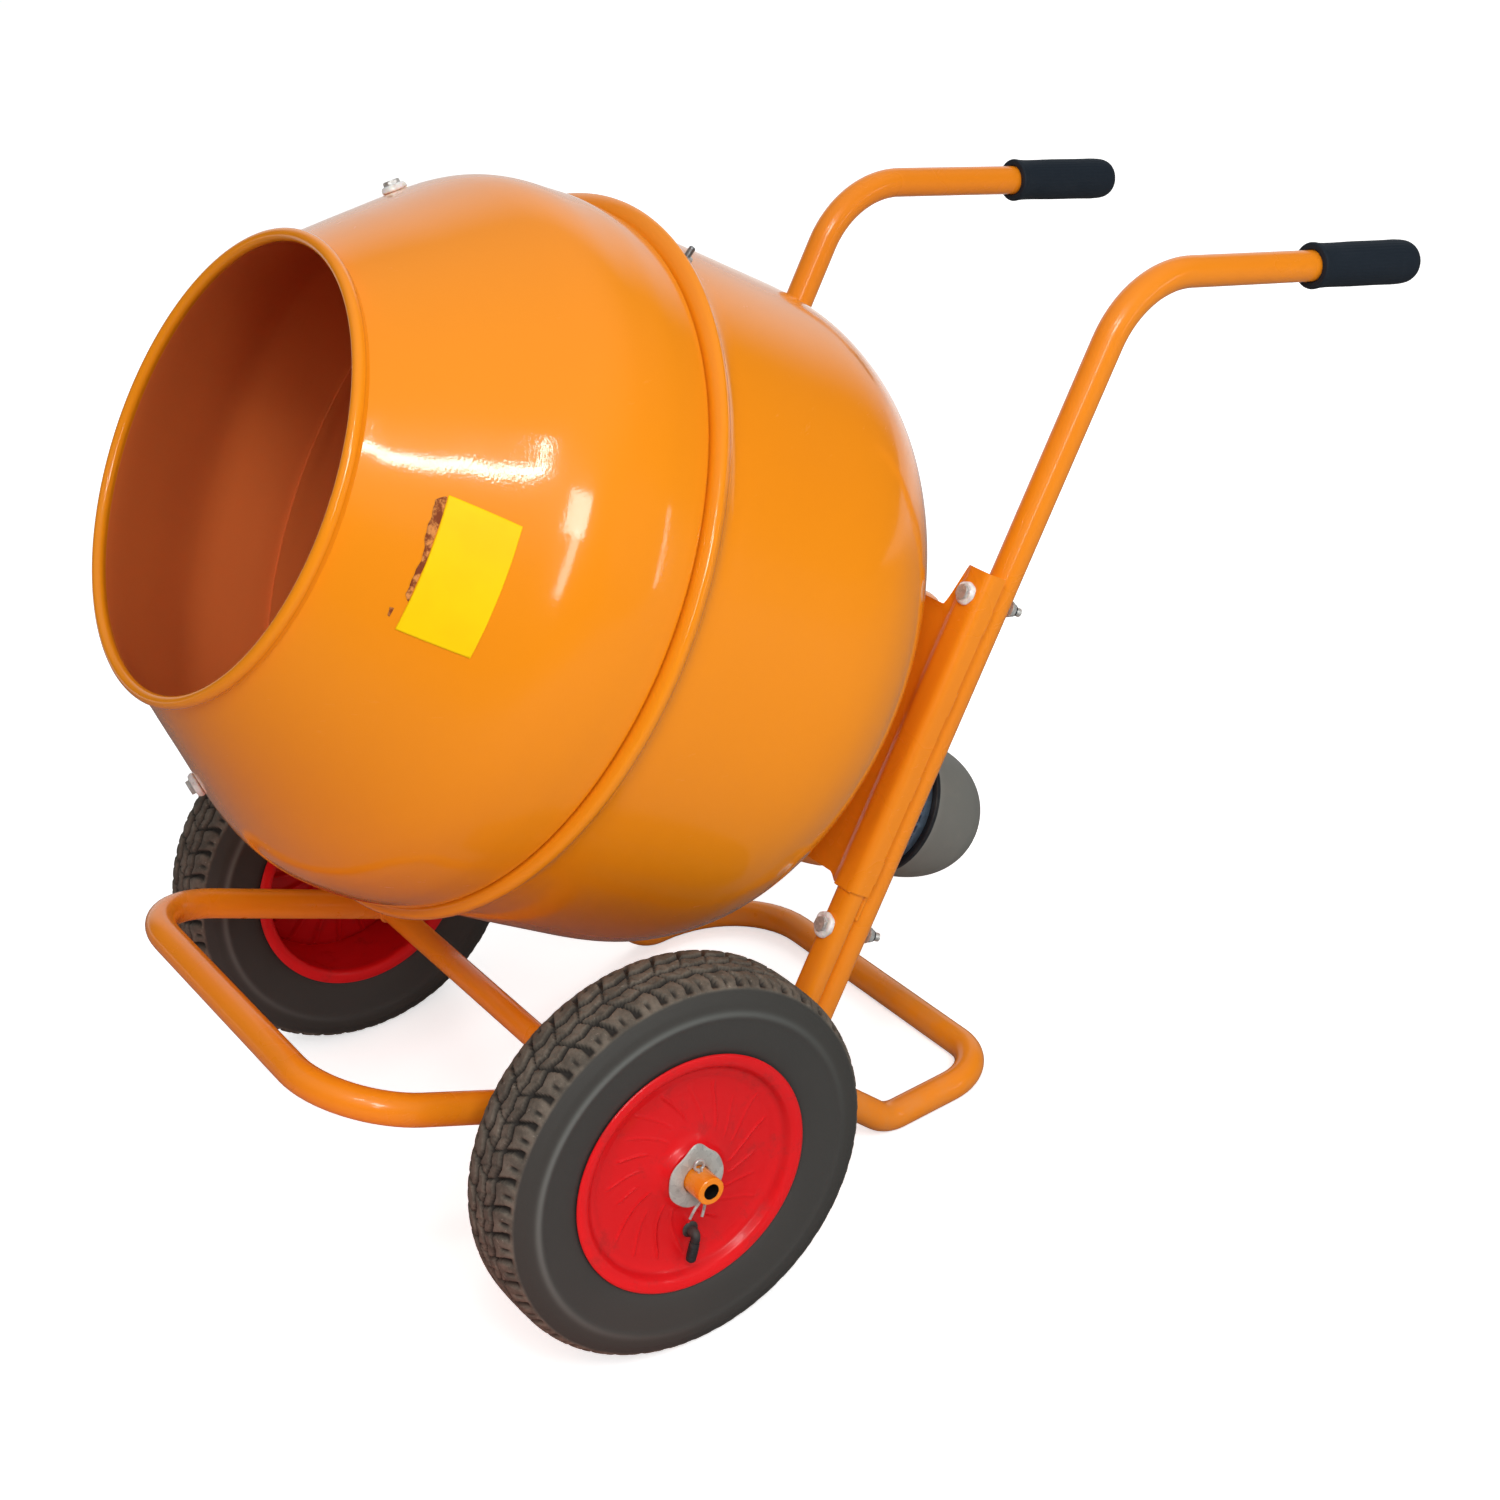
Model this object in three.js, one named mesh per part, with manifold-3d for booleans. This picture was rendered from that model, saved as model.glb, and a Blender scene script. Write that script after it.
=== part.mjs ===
// Electric barrow concrete mixer: a tilted drum, gears and motor on a two-wheeled tube frame.
// Millimetres, +Z up. -Y is forward (drum mouth, raised front bar of the frame), +Y is backward
// (push handles), and the axle lies along X. The mixer stands on both tyres and the flat underside
// of the rear cross bar. "right" pieces are at +X, which is the right as seen from the front.
// Frame coordinates start on the ground below the middle of the axle. At the end the whole group
// is moved forward, which puts the origin on the ground under the middle of the rear cross bar.
import * as THREE from 'three';
import { mergeVertices } from 'three/addons/utils/BufferGeometryUtils.js';
import Module from 'manifold-3d';

const wasm = await Module();
wasm.setup();

// ---------------------------------------------------------------- driving dimensions
const GAP = 0.3;                 // clearance between neighbouring solids
const WHEEL_R = 172;             // tyre radius at the flats of its facets; also the axle height
const WHEEL_X = 303;             // wheel centre plane
const PIN_OUT = 51;              // split pin, outward from the wheel centre plane
const TUBE_R = 14;               // frame and handle tube
const TUBE_BORE = 12;
const RAIL_X = 210;              // frame rails and handle tubes
const DRUM_SEAM = { y: 66, z: 594 };         // middle of the drum's seam, in the frame
const DRUM_TILT = 35;                        // drum axis above horizontal, degrees
const GEAR_MODULE = 4;
const GEAR_TEETH = 44;
const PINION_TEETH = 11;
const DEG = Math.PI / 180;
const SIDES = [['right', 1], ['left', -1]];  // name, sign of x

// ---------------------------------------------------------------- materials
const material = (settings) => new THREE.MeshStandardMaterial(settings);
const MATERIALS = {
  orange: material({ color: 0xf0921e, roughness: 0.35, metalness: 0.1 }),
  red: material({ color: 0xde1e23, roughness: 0.4, metalness: 0 }),
  tyre: material({ color: 0x3c3c3a, roughness: 0.85, metalness: 0 }),
  grip: material({ color: 0x1e262b, roughness: 0.75, metalness: 0 }),
  zinc: material({ color: 0xb9bcc0, roughness: 0.35, metalness: 0.9 }),
  steel: material({ color: 0x8f9296, roughness: 0.4, metalness: 0.9 }),
  blade: material({ color: 0x8a4a22, roughness: 0.6, metalness: 0.3 }),
  cap: material({ color: 0x737370, roughness: 0.55, metalness: 0 }),
  motor: material({ color: 0x7d8fa3, roughness: 0.4, metalness: 0.5 }),
  gasket: material({ color: 0x1b1d20, roughness: 0.7, metalness: 0 }),
  box: material({ color: 0x2a2c2f, roughness: 0.6, metalness: 0 }),
  green: material({ color: 0x1f8a3b, roughness: 0.5, metalness: 0 }),
  stop: material({ color: 0xc41a1a, roughness: 0.5, metalness: 0 }),
  iron: material({ color: 0x55585c, roughness: 0.6, metalness: 0.6 }),
  bronze: material({ color: 0xa9793c, roughness: 0.45, metalness: 0.8 }),
};

// ---------------------------------------------------------------- meshes and booleans
const vec = (x, y, z) => new THREE.Vector3(x, y, z);
const vec2 = (x, y) => new THREE.Vector2(x, y);

// strips a geometry to shared positions with outward faces
function clean(source) {
  const bare = source.clone();
  for (const key of Object.keys(bare.attributes)) {
    if (key !== 'position') bare.deleteAttribute(key);
  }
  const merged = mergeVertices(bare, 1e-3);
  const positions = merged.attributes.position;
  const index = merged.index.array;
  const kept = [];
  let volume = 0;
  for (let i = 0; i < index.length; i += 3) {
    const corners = [index[i], index[i + 1], index[i + 2]];
    if (new Set(corners).size < 3) continue;
    kept.push(...corners);
    const [a, b, c] = corners.map((corner) => vec().fromBufferAttribute(positions, corner));
    volume += a.dot(b.cross(c));
  }
  if (volume < 0) {
    for (let i = 0; i < kept.length; i += 3) [kept[i], kept[i + 1]] = [kept[i + 1], kept[i]];
  }
  merged.setIndex(kept);
  return merged;
}

function toSolid(source) {
  const cleaned = clean(source);
  return new wasm.Manifold(new wasm.Mesh({
    numProp: 3,
    vertProperties: new Float32Array(cleaned.attributes.position.array),
    triVerts: new Uint32Array(cleaned.index.array),
  }));
}

function toGeometry(body) {
  const mesh = body.getMesh();
  const positions = new THREE.BufferAttribute(new Float32Array(mesh.vertProperties), 3);
  const result = new THREE.BufferGeometry().setAttribute('position', positions);
  return result.setIndex(Array.from(mesh.triVerts));
}

const cut = (first, ...tools) =>
  toGeometry(tools.reduce((body, tool) => body.subtract(toSolid(tool)), toSolid(first)));
const join = (first, ...others) =>
  toGeometry(others.reduce((body, other) => body.add(toSolid(other)), toSolid(first)));

function add(parent, name, source, look) {
  const cleaned = clean(source);
  cleaned.computeVertexNormals();
  const mesh = new THREE.Mesh(cleaned, look);
  mesh.name = name;
  parent.add(mesh);
}

// ---------------------------------------------------------------- placing
const alongX = (shape) => shape.rotateZ(-Math.PI / 2);  // turns +Y to +X
const alongZ = (shape) => shape.rotateX(Math.PI / 2);   // turns +Y to +Z
const mirrorX = (shape) => clean(shape).scale(-1, 1, 1);

// turns +Y to a direction, then moves to an origin
function aim(shape, direction, origin) {
  const turn = new THREE.Quaternion().setFromUnitVectors(vec(0, 1, 0), direction);
  return shape.applyQuaternion(turn).translate(...origin);
}

// ---------------------------------------------------------------- basic shapes
// phase shifts the first corner, as a fraction of one side
function polygon(radiusX, radiusY, sides, phase = 0.5) {
  return Array.from({ length: sides }, (_, i) => {
    const angle = ((i + phase) / sides) * 2 * Math.PI;
    return vec2(radiusX * Math.cos(angle), radiusY * Math.sin(angle));
  });
}

// a flat outline, with an optional hole, raised along +Z
function prism(outline, depth, { hole, steps = 1 } = {}) {
  const shape = new THREE.Shape(outline);
  if (hole) shape.holes.push(new THREE.Path(hole));
  return new THREE.ExtrudeGeometry(shape, { depth, steps, bevelEnabled: false });
}

// profile is [radius, height] pairs turned about +Y; one that starts off the axis is closed
function lathe(profile, segments, phase = 0) {
  const points = profile.map(([radius, height]) => vec2(radius, height));
  if (profile[0][0] > 1e-6) points.push(points[0].clone());
  return new THREE.LatheGeometry(points, segments, phase, 2 * Math.PI);
}

const rod = (radius, from, to, sides) =>
  lathe([[0, from], [radius, from], [radius, to], [0, to]], sides);
const ring = (inner, outer, from, to, sides) =>
  lathe([[inner, from], [outer, from], [outer, to], [inner, to]], sides);

// hexagon nut with a round hole, axis +Z
const hexNut = (bore, radius, from, to, sides) =>
  prism(polygon(radius, radius, 6, 0), to - from, { hole: polygon(bore, bore, sides, 0) })
    .translate(0, 0, from);

// each argument is a [low, high] pair
const box = ([x0, x1], [y0, y1], [z0, z1]) =>
  new THREE.BoxGeometry(x1 - x0, y1 - y0, z1 - z0)
    .translate((x0 + x1) / 2, (y0 + y1) / 2, (z0 + z1) / 2);

// a path with one tube section at each given point
class PointPath extends THREE.Curve {
  constructor(points) {
    super();
    this.points = points;
  }

  getSpacedPoints() {
    return this.points.map((point) => point.clone());
  }

  getTangentAt(u) {
    const last = this.points.length - 1;
    const i = Math.round(u * last);
    const leg = (k) => this.points[k + 1].clone().sub(this.points[k]).normalize();
    const before = i > 0 ? leg(i - 1) : vec(0, 0, 0);
    const after = i < last ? leg(i) : vec(0, 0, 0);
    return before.add(after).normalize();
  }
}

// rounds the inner corners of a polyline; each corner is { point, radius, steps }
function bend(start, corners, end) {
  const result = [start.clone()];
  const points = [start, ...corners.map((corner) => corner.point), end];
  corners.forEach(({ point, radius, steps }, k) => {
    const back = points[k].clone().sub(point).normalize();
    const ahead = points[k + 2].clone().sub(point).normalize();
    const angle = back.angleTo(ahead);
    const setback = radius / Math.tan(angle / 2);
    const bisector = back.clone().add(ahead).normalize();
    const centre = point.clone().addScaledVector(bisector, radius / Math.sin(angle / 2));
    const first = point.clone().addScaledVector(back, setback).sub(centre);
    const last = point.clone().addScaledVector(ahead, setback).sub(centre);
    const axis = first.clone().cross(last).normalize();
    for (let i = 0; i <= steps; i++) {
      const turn = ((Math.PI - angle) * i) / steps;
      result.push(first.clone().applyAxisAngle(axis, turn).add(centre));
    }
  });
  result.push(end.clone());
  return result;
}

function tube(points, outer, inner = 0, sides = 10) {
  const shape = new THREE.Shape(polygon(outer, outer, sides));
  if (inner > 0) shape.holes.push(new THREE.Path(polygon(inner, inner, sides)));
  return new THREE.ExtrudeGeometry(shape, {
    steps: points.length - 1, bevelEnabled: false, extrudePath: new PointPath(points),
  });
}

// outline of a folded sheet: an open centre line of [x, y] thickened both ways
function ribbon(line, thickness) {
  const left = [];
  const right = [];
  const last = line.length - 1;
  const step = (from, to) => vec2(to[0] - from[0], to[1] - from[1]).normalize();
  line.forEach((point, i) => {
    const after = step(point, line[Math.min(i + 1, last)]);
    const before = i > 0 ? step(line[i - 1], point) : after.clone();
    if (i === last) after.copy(before);
    const along = before.clone().add(after).normalize();
    const normal = vec2(-along.y, along.x);
    // the mitre lengthens at a fold, up to a limit
    const offset = thickness / 2 / Math.max(0.4, normal.dot(vec2(-after.y, after.x)));
    const [x, y] = point;
    left.push(vec2(x + normal.x * offset, y + normal.y * offset));
    right.unshift(vec2(x - normal.x * offset, y - normal.y * offset));
  });
  return [...left, ...right];
}

const group = new THREE.Group();

// ---------------------------------------------------------------- frame hoops
// Two hoops, butt-welded at SPLIT_Y. Corners of the right-hand rail, front to rear:
const TOE = vec(RAIL_X, -237, 281);              // front cross bar
const CROSSING = vec(RAIL_X, 0, WHEEL_R + 1);    // the rail crosses the axle
const KNEE = vec(RAIL_X, 145, 146);              // the rail turns down
const HEEL = vec(RAIL_X, 399, 13);               // rear cross bar, on the ground
const FOOT = vec(RAIL_X, 274, HEEL.z);           // the rail levels out
const SPLIT_Y = 62;
const AXLE_R = 12;

const railSlope = KNEE.clone().sub(CROSSING).normalize();
const splitPoint = CROSSING.clone()
  .lerp(KNEE, (SPLIT_Y - CROSSING.y) / (KNEE.y - CROSSING.y));
const middleOf = (corner) => vec(0, corner.y, corner.z);

// both halves run from the split to the middle of a cross bar, on the +X side
const hoopTube = (rightHalf, leftHalf) => {
  const mirrored = leftHalf.slice(0, -1).reverse().map(({ x, y, z }) => vec(-x, y, z));
  return tube([...rightHalf, ...mirrored], TUBE_R, TUBE_BORE);
};

function frontHoop() {
  const half = bend(splitPoint.clone().addScaledVector(railSlope, -GAP / 2), [
    { point: CROSSING, radius: 100, steps: 1 },
    { point: TOE, radius: 80, steps: 5 },
  ], middleOf(TOE));
  const reach = RAIL_X + 40;
  const axleHole = alongX(rod(AXLE_R + GAP, -reach, reach, 16)).translate(0, 0, WHEEL_R);
  return cut(hoopTube(half, half), axleHole);
}

function rearHoop() {
  const half = (radius, steps) => bend(splitPoint.clone().addScaledVector(railSlope, GAP / 2), [
    { point: KNEE, radius: 60, steps: 2 },
    { point: FOOT, radius: 36, steps: 2 },
    { point: HEEL, radius, steps },
  ], middleOf(HEEL));
  // the left corner of the rear bar is bent wider than the right one
  const hoop = hoopTube(half(50, 4), half(105, 5));
  const belowGround = box([-300, 300], [200, 500], [-20, 0]);
  return cut(hoop, belowGround);
}

add(group, 'front_hoop', frontHoop(), MATERIALS.orange);
add(group, 'rear_hoop', rearHoop(), MATERIALS.orange);

// ---------------------------------------------------------------- axle
const AXLE_BORE = 7;
const AXLE_END = 368;

function axleTube() {
  const axle = alongX(ring(AXLE_BORE, AXLE_R, -AXLE_END, AXLE_END, 14)).translate(0, 0, WHEEL_R);
  const pinHoles = SIDES.map(([, sign]) =>
    alongZ(rod(2.4, -30, 30, 8)).translate(sign * (WHEEL_X + PIN_OUT), 0, WHEEL_R));
  return cut(axle, ...pinHoles);
}

add(group, 'axle_tube', axleTube(), MATERIALS.orange);

// ---------------------------------------------------------------- wheels
// In a wheel's own axes +Y points outward along the axle. Profiles are [radius, outward].
const TYRE_FACETS = 24;
const RIM_FACETS = 20;
const HUB_BORE = 12.6;
const TYRE_PROFILE = [
  [WHEEL_R, 24], [167, 34], [157, 40], [140, 42], [122, 41], [110.5, 36.5],
  [101.5, 33.1], [101.5, 27], [109, 27.5], [138, 35.5], [155, 32], [162.5, 22],
  [162.5, -22], [155, -32], [138, -35.5], [109, -27.5], [101.5, -27], [101.5, -33.1],
  [110.5, -36.5], [122, -41], [140, -42], [157, -40], [167, -34], [WHEEL_R, -24],
];
const RIM_PROFILE = [
  [108, 37.6], [97, 34.5], [91, 27], [58, 25], [27, 33], [24, 40], [17.6, 40],
  [17.6, -36], [24, -36], [27, 20], [60, 21], [90, 23], [96.5, 30], [96.5, -28],
  [97, -34.5], [108, -37.6], [108, -36.2], [100.3, -33.6], [100.3, 33.6], [108, 36.2],
];
const SPLIT_PIN_PROFILE = [[0, -24], [2, -24], [2, 14], [4.5, 17], [4.5, 21], [0, 23]];

// the tread is scaled to its facets, so that one flat lies exactly on the ground
function tyre() {
  const treadFrom = 165;
  const scale = 1 / Math.cos(Math.PI / TYRE_FACETS);
  const profile = TYRE_PROFILE.map(([radius, out]) =>
    [radius > treadFrom ? radius * scale : radius, out]);
  return lathe(profile, TYRE_FACETS, Math.PI / TYRE_FACETS);
}

// rubber valve: out of the rim below the hub, then bent over towards the tyre
function valveStem() {
  const [x, z] = [4, -60];
  const corner = vec(x, 36, z);
  const tip = corner.clone().addScaledVector(vec(0.38, 0, -0.925), 25);
  const stem = bend(vec(x, 27, z), [{ point: corner, radius: 5, steps: 2 }], tip);
  const collar = rod(6.5, 26.2, 28.4, 10).translate(x, 0, z);
  return join(tube(stem, 4, 0, 8), collar);
}

function wheelGroup(sign) {
  const holder = new THREE.Group();
  holder.position.set(sign * WHEEL_X, 0, WHEEL_R);
  holder.rotation.z = (-sign * Math.PI) / 2;
  group.add(holder);
  return holder;
}

for (const [side, sign] of SIDES) {
  const wheel = wheelGroup(sign);
  add(wheel, `tyre_${side}`, tyre(), MATERIALS.tyre);
  add(wheel, `wheel_rim_${side}`, lathe(RIM_PROFILE, RIM_FACETS), MATERIALS.red);
  add(wheel, `hub_bush_${side}`, ring(HUB_BORE, 17.2, -36, 40, 14), MATERIALS.bronze);
  add(wheel, `valve_stem_${side}`, valveStem(), MATERIALS.tyre);

  const axleEnd = wheelGroup(sign);
  const splitPin = alongZ(lathe(SPLIT_PIN_PROFILE, 8)).translate(0, PIN_OUT, 0);
  add(axleEnd, `hub_washer_${side}`, ring(HUB_BORE, 26, 40.6, 43.6, 16), MATERIALS.zinc);
  add(axleEnd, `split_pin_${side}`, splitPin, MATERIALS.zinc);
}

// ---------------------------------------------------------------- inclined head
// Everything below is in the head's own axes, from the middle of the drum's seam: x across,
// y up along the legs (up and backward), z along the drum axis towards the mouth.
const head = new THREE.Group();
head.position.set(0, DRUM_SEAM.y, DRUM_SEAM.z);
head.rotation.x = (90 - DRUM_TILT) * DEG;
group.add(head);
head.updateMatrixWorld(true);
const toHead = (point) => head.worldToLocal(point.clone());

// ---------------------------------------------------------------- legs and handles
// flattened leg tube: half width, half depth, wall
const LEG = { x: 214, z: -345, halfWidth: 13, halfDepth: 10, wall: 2.6, bottom: -309, top: 146 };
const HANDLE = { z: -369.4, bottom: -331, cornerY: 427, bend: 92, reach: 330, gripFrom: 207 };
const GRIP_FALL = 13.4;          // grips slope down backwards, degrees
const GRIP_PROFILE = [           // [radius, distance along the handle]
  [14.6, 0], [20.4, 0], [20.9, 4], [19.9, 10], [20.2, 112],
  [18, 123], [11, 128], [0, 129], [0, 123.5], [14.6, 123.5],
];
const BOLT_X = LEG.x - 2;
const LEG_BOLTS = [              // seat is the face under the bolt head
  { where: 'upper', y: 124, seat: -333.2 + GAP },            // on the drive channel
  { where: 'lower', y: -189, seat: LEG.z + LEG.halfDepth + GAP },  // on the bare leg
];

const boltHoles = () =>
  LEG_BOLTS.map(({ y }) => alongZ(rod(4.4, -420, -300, 8)).translate(BOLT_X, y, 0));

// an ellipse with squared-off corners
function flattenedOval(halfWidth, halfDepth) {
  const square = (value, half) => Math.sign(value) * half * Math.abs(value / half) ** 0.75;
  return polygon(halfWidth, halfDepth, 12)
    .map(({ x, y }) => vec2(square(x, halfWidth), square(y, halfDepth)));
}

function legTube() {
  const outline = flattenedOval(LEG.halfWidth, LEG.halfDepth);
  const hole = flattenedOval(LEG.halfWidth - LEG.wall, LEG.halfDepth - LEG.wall);
  const leg = prism(outline, LEG.top - LEG.bottom, { hole })
    .rotateX(-Math.PI / 2)
    .translate(LEG.x, LEG.bottom, LEG.z);
  return cut(leg, ...boltHoles());
}

const handleCorner = vec(RAIL_X, HANDLE.cornerY, HANDLE.z);
const gripDirection = toHead(vec(0, Math.cos(GRIP_FALL * DEG), -Math.sin(GRIP_FALL * DEG)))
  .sub(toHead(vec(0, 0, 0)));

// straight behind the leg, then bent back into the grip line; notched round the frame rail
function handleTube() {
  const path = bend(
    vec(RAIL_X, HANDLE.bottom, HANDLE.z),
    [{ point: handleCorner, radius: HANDLE.bend, steps: 5 }],
    handleCorner.clone().addScaledVector(gripDirection, HANDLE.reach),
  );
  const rail = tube([toHead(KNEE), toHead(FOOT)], TUBE_R + GAP, 0, 16);
  return cut(tube(path, TUBE_R, TUBE_BORE), rail, ...boltHoles());
}

function handleGrip() {
  const start = handleCorner.clone().addScaledVector(gripDirection, HANDLE.gripFrom);
  return aim(lathe(GRIP_PROFILE, 12), gripDirection, start);
}

// long bolt through leg and handle: shank, washer, hexagon head
function legBolt({ y, seat }) {
  const shank = rod(4, -398, seat + 1, 8);
  const washer = rod(8.6, seat, seat + 1.6, 10);
  const hexagon = rod(7.4, seat + 1.5, seat + 7, 6);
  return alongZ(join(shank, washer, hexagon)).translate(BOLT_X, y, 0);
}

const legNut = ({ y }) => hexNut(4.5, 7.4, -391.2, -384.2, 8).translate(BOLT_X, y, 0);

for (const [side, sign] of SIDES) {
  const place = (shape) => (sign > 0 ? shape : mirrorX(shape));
  add(head, `leg_tube_${side}`, place(legTube()), MATERIALS.orange);
  add(head, `handle_tube_${side}`, place(handleTube()), MATERIALS.orange);
  add(head, `handle_grip_${side}`, place(handleGrip()), MATERIALS.grip);
  for (const bolt of LEG_BOLTS) {
    add(head, `leg_bolt_${bolt.where}_${side}`, place(legBolt(bolt)), MATERIALS.zinc);
    add(head, `leg_nut_${bolt.where}_${side}`, place(legNut(bolt)), MATERIALS.zinc);
  }
}

// ---------------------------------------------------------------- drive channel
// one pressed sheet, its edges wrapped round the legs
const CHANNEL = { z: -338.5, sheet: 1.5, bottom: -152, height: 299, halfWeb: 196 };
const CHANNEL_LINE = [           // [x, z] of the right half's centre line
  [188, CHANNEL.z], [197, -337.3], [203, -334.4], [208, -333.9],
  [220, -333.9], [225.6, -336], [228.2, -341], [228.2, -353],
];

function driveChannel() {
  // drawn with z negated, which the turn upright restores
  const line = [
    ...CHANNEL_LINE.map(([x, z]) => [-x, -z]).reverse(),
    ...CHANNEL_LINE.map(([x, z]) => [x, -z]),
  ];
  const sheet = prism(ribbon(line, CHANNEL.sheet), CHANNEL.height)
    .rotateX(-Math.PI / 2)
    .translate(0, CHANNEL.bottom, 0);
  // the web between the legs is shorter than the edges at both ends
  const trim = (yRange) => box([-CHANNEL.halfWeb, CHANNEL.halfWeb], yRange, [-345, -320]);
  const housingHole = alongZ(rod(31.9, -360, -300, 16));
  const upperHole = alongZ(rod(4.6, -360, -300, 8)).translate(BOLT_X, LEG_BOLTS[0].y, 0);
  return cut(sheet, trim([107, 200]), trim([-200, -147]), housingHole,
    upperHole, mirrorX(upperHole));
}

add(head, 'drive_channel', driveChannel(), MATERIALS.orange);

// ---------------------------------------------------------------- rear cover
// a pan behind the channel that encloses the gears
const PAN = { back: -421, sheet: 2, halfWidth: 118, bottom: -176, top: 112, corner: 30 };
// the motor's axis lies below the drum's by the centre distance of the gears
const MOTOR_Y = -(GEAR_MODULE * (GEAR_TEETH + PINION_TEETH)) / 2;
const onMotorAxis = (shape) => alongZ(shape).translate(0, MOTOR_Y, 0);

// rounded outline of the pan, drawn in by an inset
function panOutline(inset) {
  const radius = PAN.corner - inset;
  const x = PAN.halfWidth - PAN.corner;
  const low = PAN.bottom + PAN.corner;
  const high = PAN.top - PAN.corner;
  const centres = [[x, high], [-x, high], [-x, low], [x, low]];
  return centres.flatMap(([centreX, centreY], quarter) => [0, 30, 60, 90].map((degrees) => {
    const angle = (quarter * 90 + degrees) * DEG;
    return vec2(centreX + radius * Math.cos(angle), centreY + radius * Math.sin(angle));
  }));
}

function rearCover() {
  const front = CHANNEL.z - CHANNEL.sheet / 2 - GAP;
  const outer = prism(panOutline(0), front - PAN.back).translate(0, 0, PAN.back);
  const inner = prism(panOutline(PAN.sheet), 200).translate(0, 0, PAN.back + PAN.sheet);
  const shaftHole = onMotorAxis(rod(16, -440, -400, 16));
  return cut(outer, inner, shaftHole);
}

add(head, 'rear_cover', rearCover(), MATERIALS.orange);

// ---------------------------------------------------------------- bearings
// housing through the channel, with a bearing in each end; [radius, z]
const FLANGE_FRONT = -339.6 - GAP;
const HOUSING_PROFILE = [
  [23.2, -384], [31, -384], [31, -341], [40, -341], [40, FLANGE_FRONT], [31, FLANGE_FRONT],
  [31, -329], [23.2, -329], [23.2, -336], [21, -336], [21, -377], [23.2, -377],
];
const bearing = (from, to) => alongZ(ring(13, 22.6, from, to, 16));

add(head, 'bearing_housing', alongZ(lathe(HOUSING_PROFILE, 16)), MATERIALS.iron);
add(head, 'shaft_bearing_front', bearing(-335.6, -329.4), MATERIALS.steel);
add(head, 'shaft_bearing_rear', bearing(-383.6, -377.4), MATERIALS.steel);

// ---------------------------------------------------------------- motor
// on the cover's back; profiles are [radius, z]
const MOTOR_R = 66;
const COVER_FACE = PAN.back - GAP;
const MOTOR_BACK = -543;
const GASKET_BACK = -549;
const MOTOR_FACETS = 20;
const MOTOR_PROFILE = [
  [0, MOTOR_BACK], [MOTOR_R, MOTOR_BACK], [MOTOR_R, -452], [60, -440],
  [60, COVER_FACE], [18, COVER_FACE], [18, -440], [0, -440],
];
const CAP_PROFILE = [
  [70, GASKET_BACK - GAP], [70, -572], [66, -598], [55, -621.5], [34, -639], [0, -647],
  [0, -643.5], [32, -636], [52.5, -619], [63.2, -597], [67, -572], [67, GASKET_BACK - GAP],
];
const motorTurned = (profile) => onMotorAxis(lathe(profile, MOTOR_FACETS));
const gasketRing = onMotorAxis(ring(50, 71, GASKET_BACK, MOTOR_BACK - GAP, MOTOR_FACETS));

add(head, 'motor_body', motorTurned(MOTOR_PROFILE), MATERIALS.motor);
add(head, 'motor_gasket_ring', gasketRing, MATERIALS.gasket);
add(head, 'motor_end_cap', motorTurned(CAP_PROFILE), MATERIALS.cap);

// ---------------------------------------------------------------- switch box
// on the cover's back, above the motor
const SWITCH = { y: 40, halfWidth: 38, halfHeight: 32, depth: 34 };
const BUTTON_X = 17;             // either side of the middle
const INLET_PROFILE = [[15, 0], [18, 0], [18, 26], [0, 26], [0, 22], [15, 22]];

// a block centred on x and the box's height, between two depths behind the cover
const switchBlock = (x, halfWidth, halfHeight, back, front) => box(
  [x - halfWidth, x + halfWidth],
  [SWITCH.y - halfHeight, SWITCH.y + halfHeight],
  [COVER_FACE - back, COVER_FACE - front],
);

function switchBox() {
  const body = switchBlock(0, SWITCH.halfWidth, SWITCH.halfHeight, SWITCH.depth, 0);
  const pocket = (x) => switchBlock(x, 11.5, 16.5, 50, 24);
  return cut(body, pocket(-BUTTON_X), pocket(BUTTON_X));
}

const switchButton = (x) =>
  join(switchBlock(x, 11, 16, 37, 28), switchBlock(x, 9, 13, 39, 36.5));

// round cup under the box, its closed end down
const plugInlet = () => lathe(INLET_PROFILE, 12)
  .rotateX(Math.PI)
  .translate(0, SWITCH.y - SWITCH.halfHeight - GAP, COVER_FACE - 18);

add(head, 'switch_box', switchBox(), MATERIALS.box);
add(head, 'switch_button_start', switchButton(-BUTTON_X), MATERIALS.green);
add(head, 'switch_button_stop', switchButton(BUTTON_X), MATERIALS.stop);
add(head, 'plug_inlet', plugInlet(), MATERIALS.box);

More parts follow.
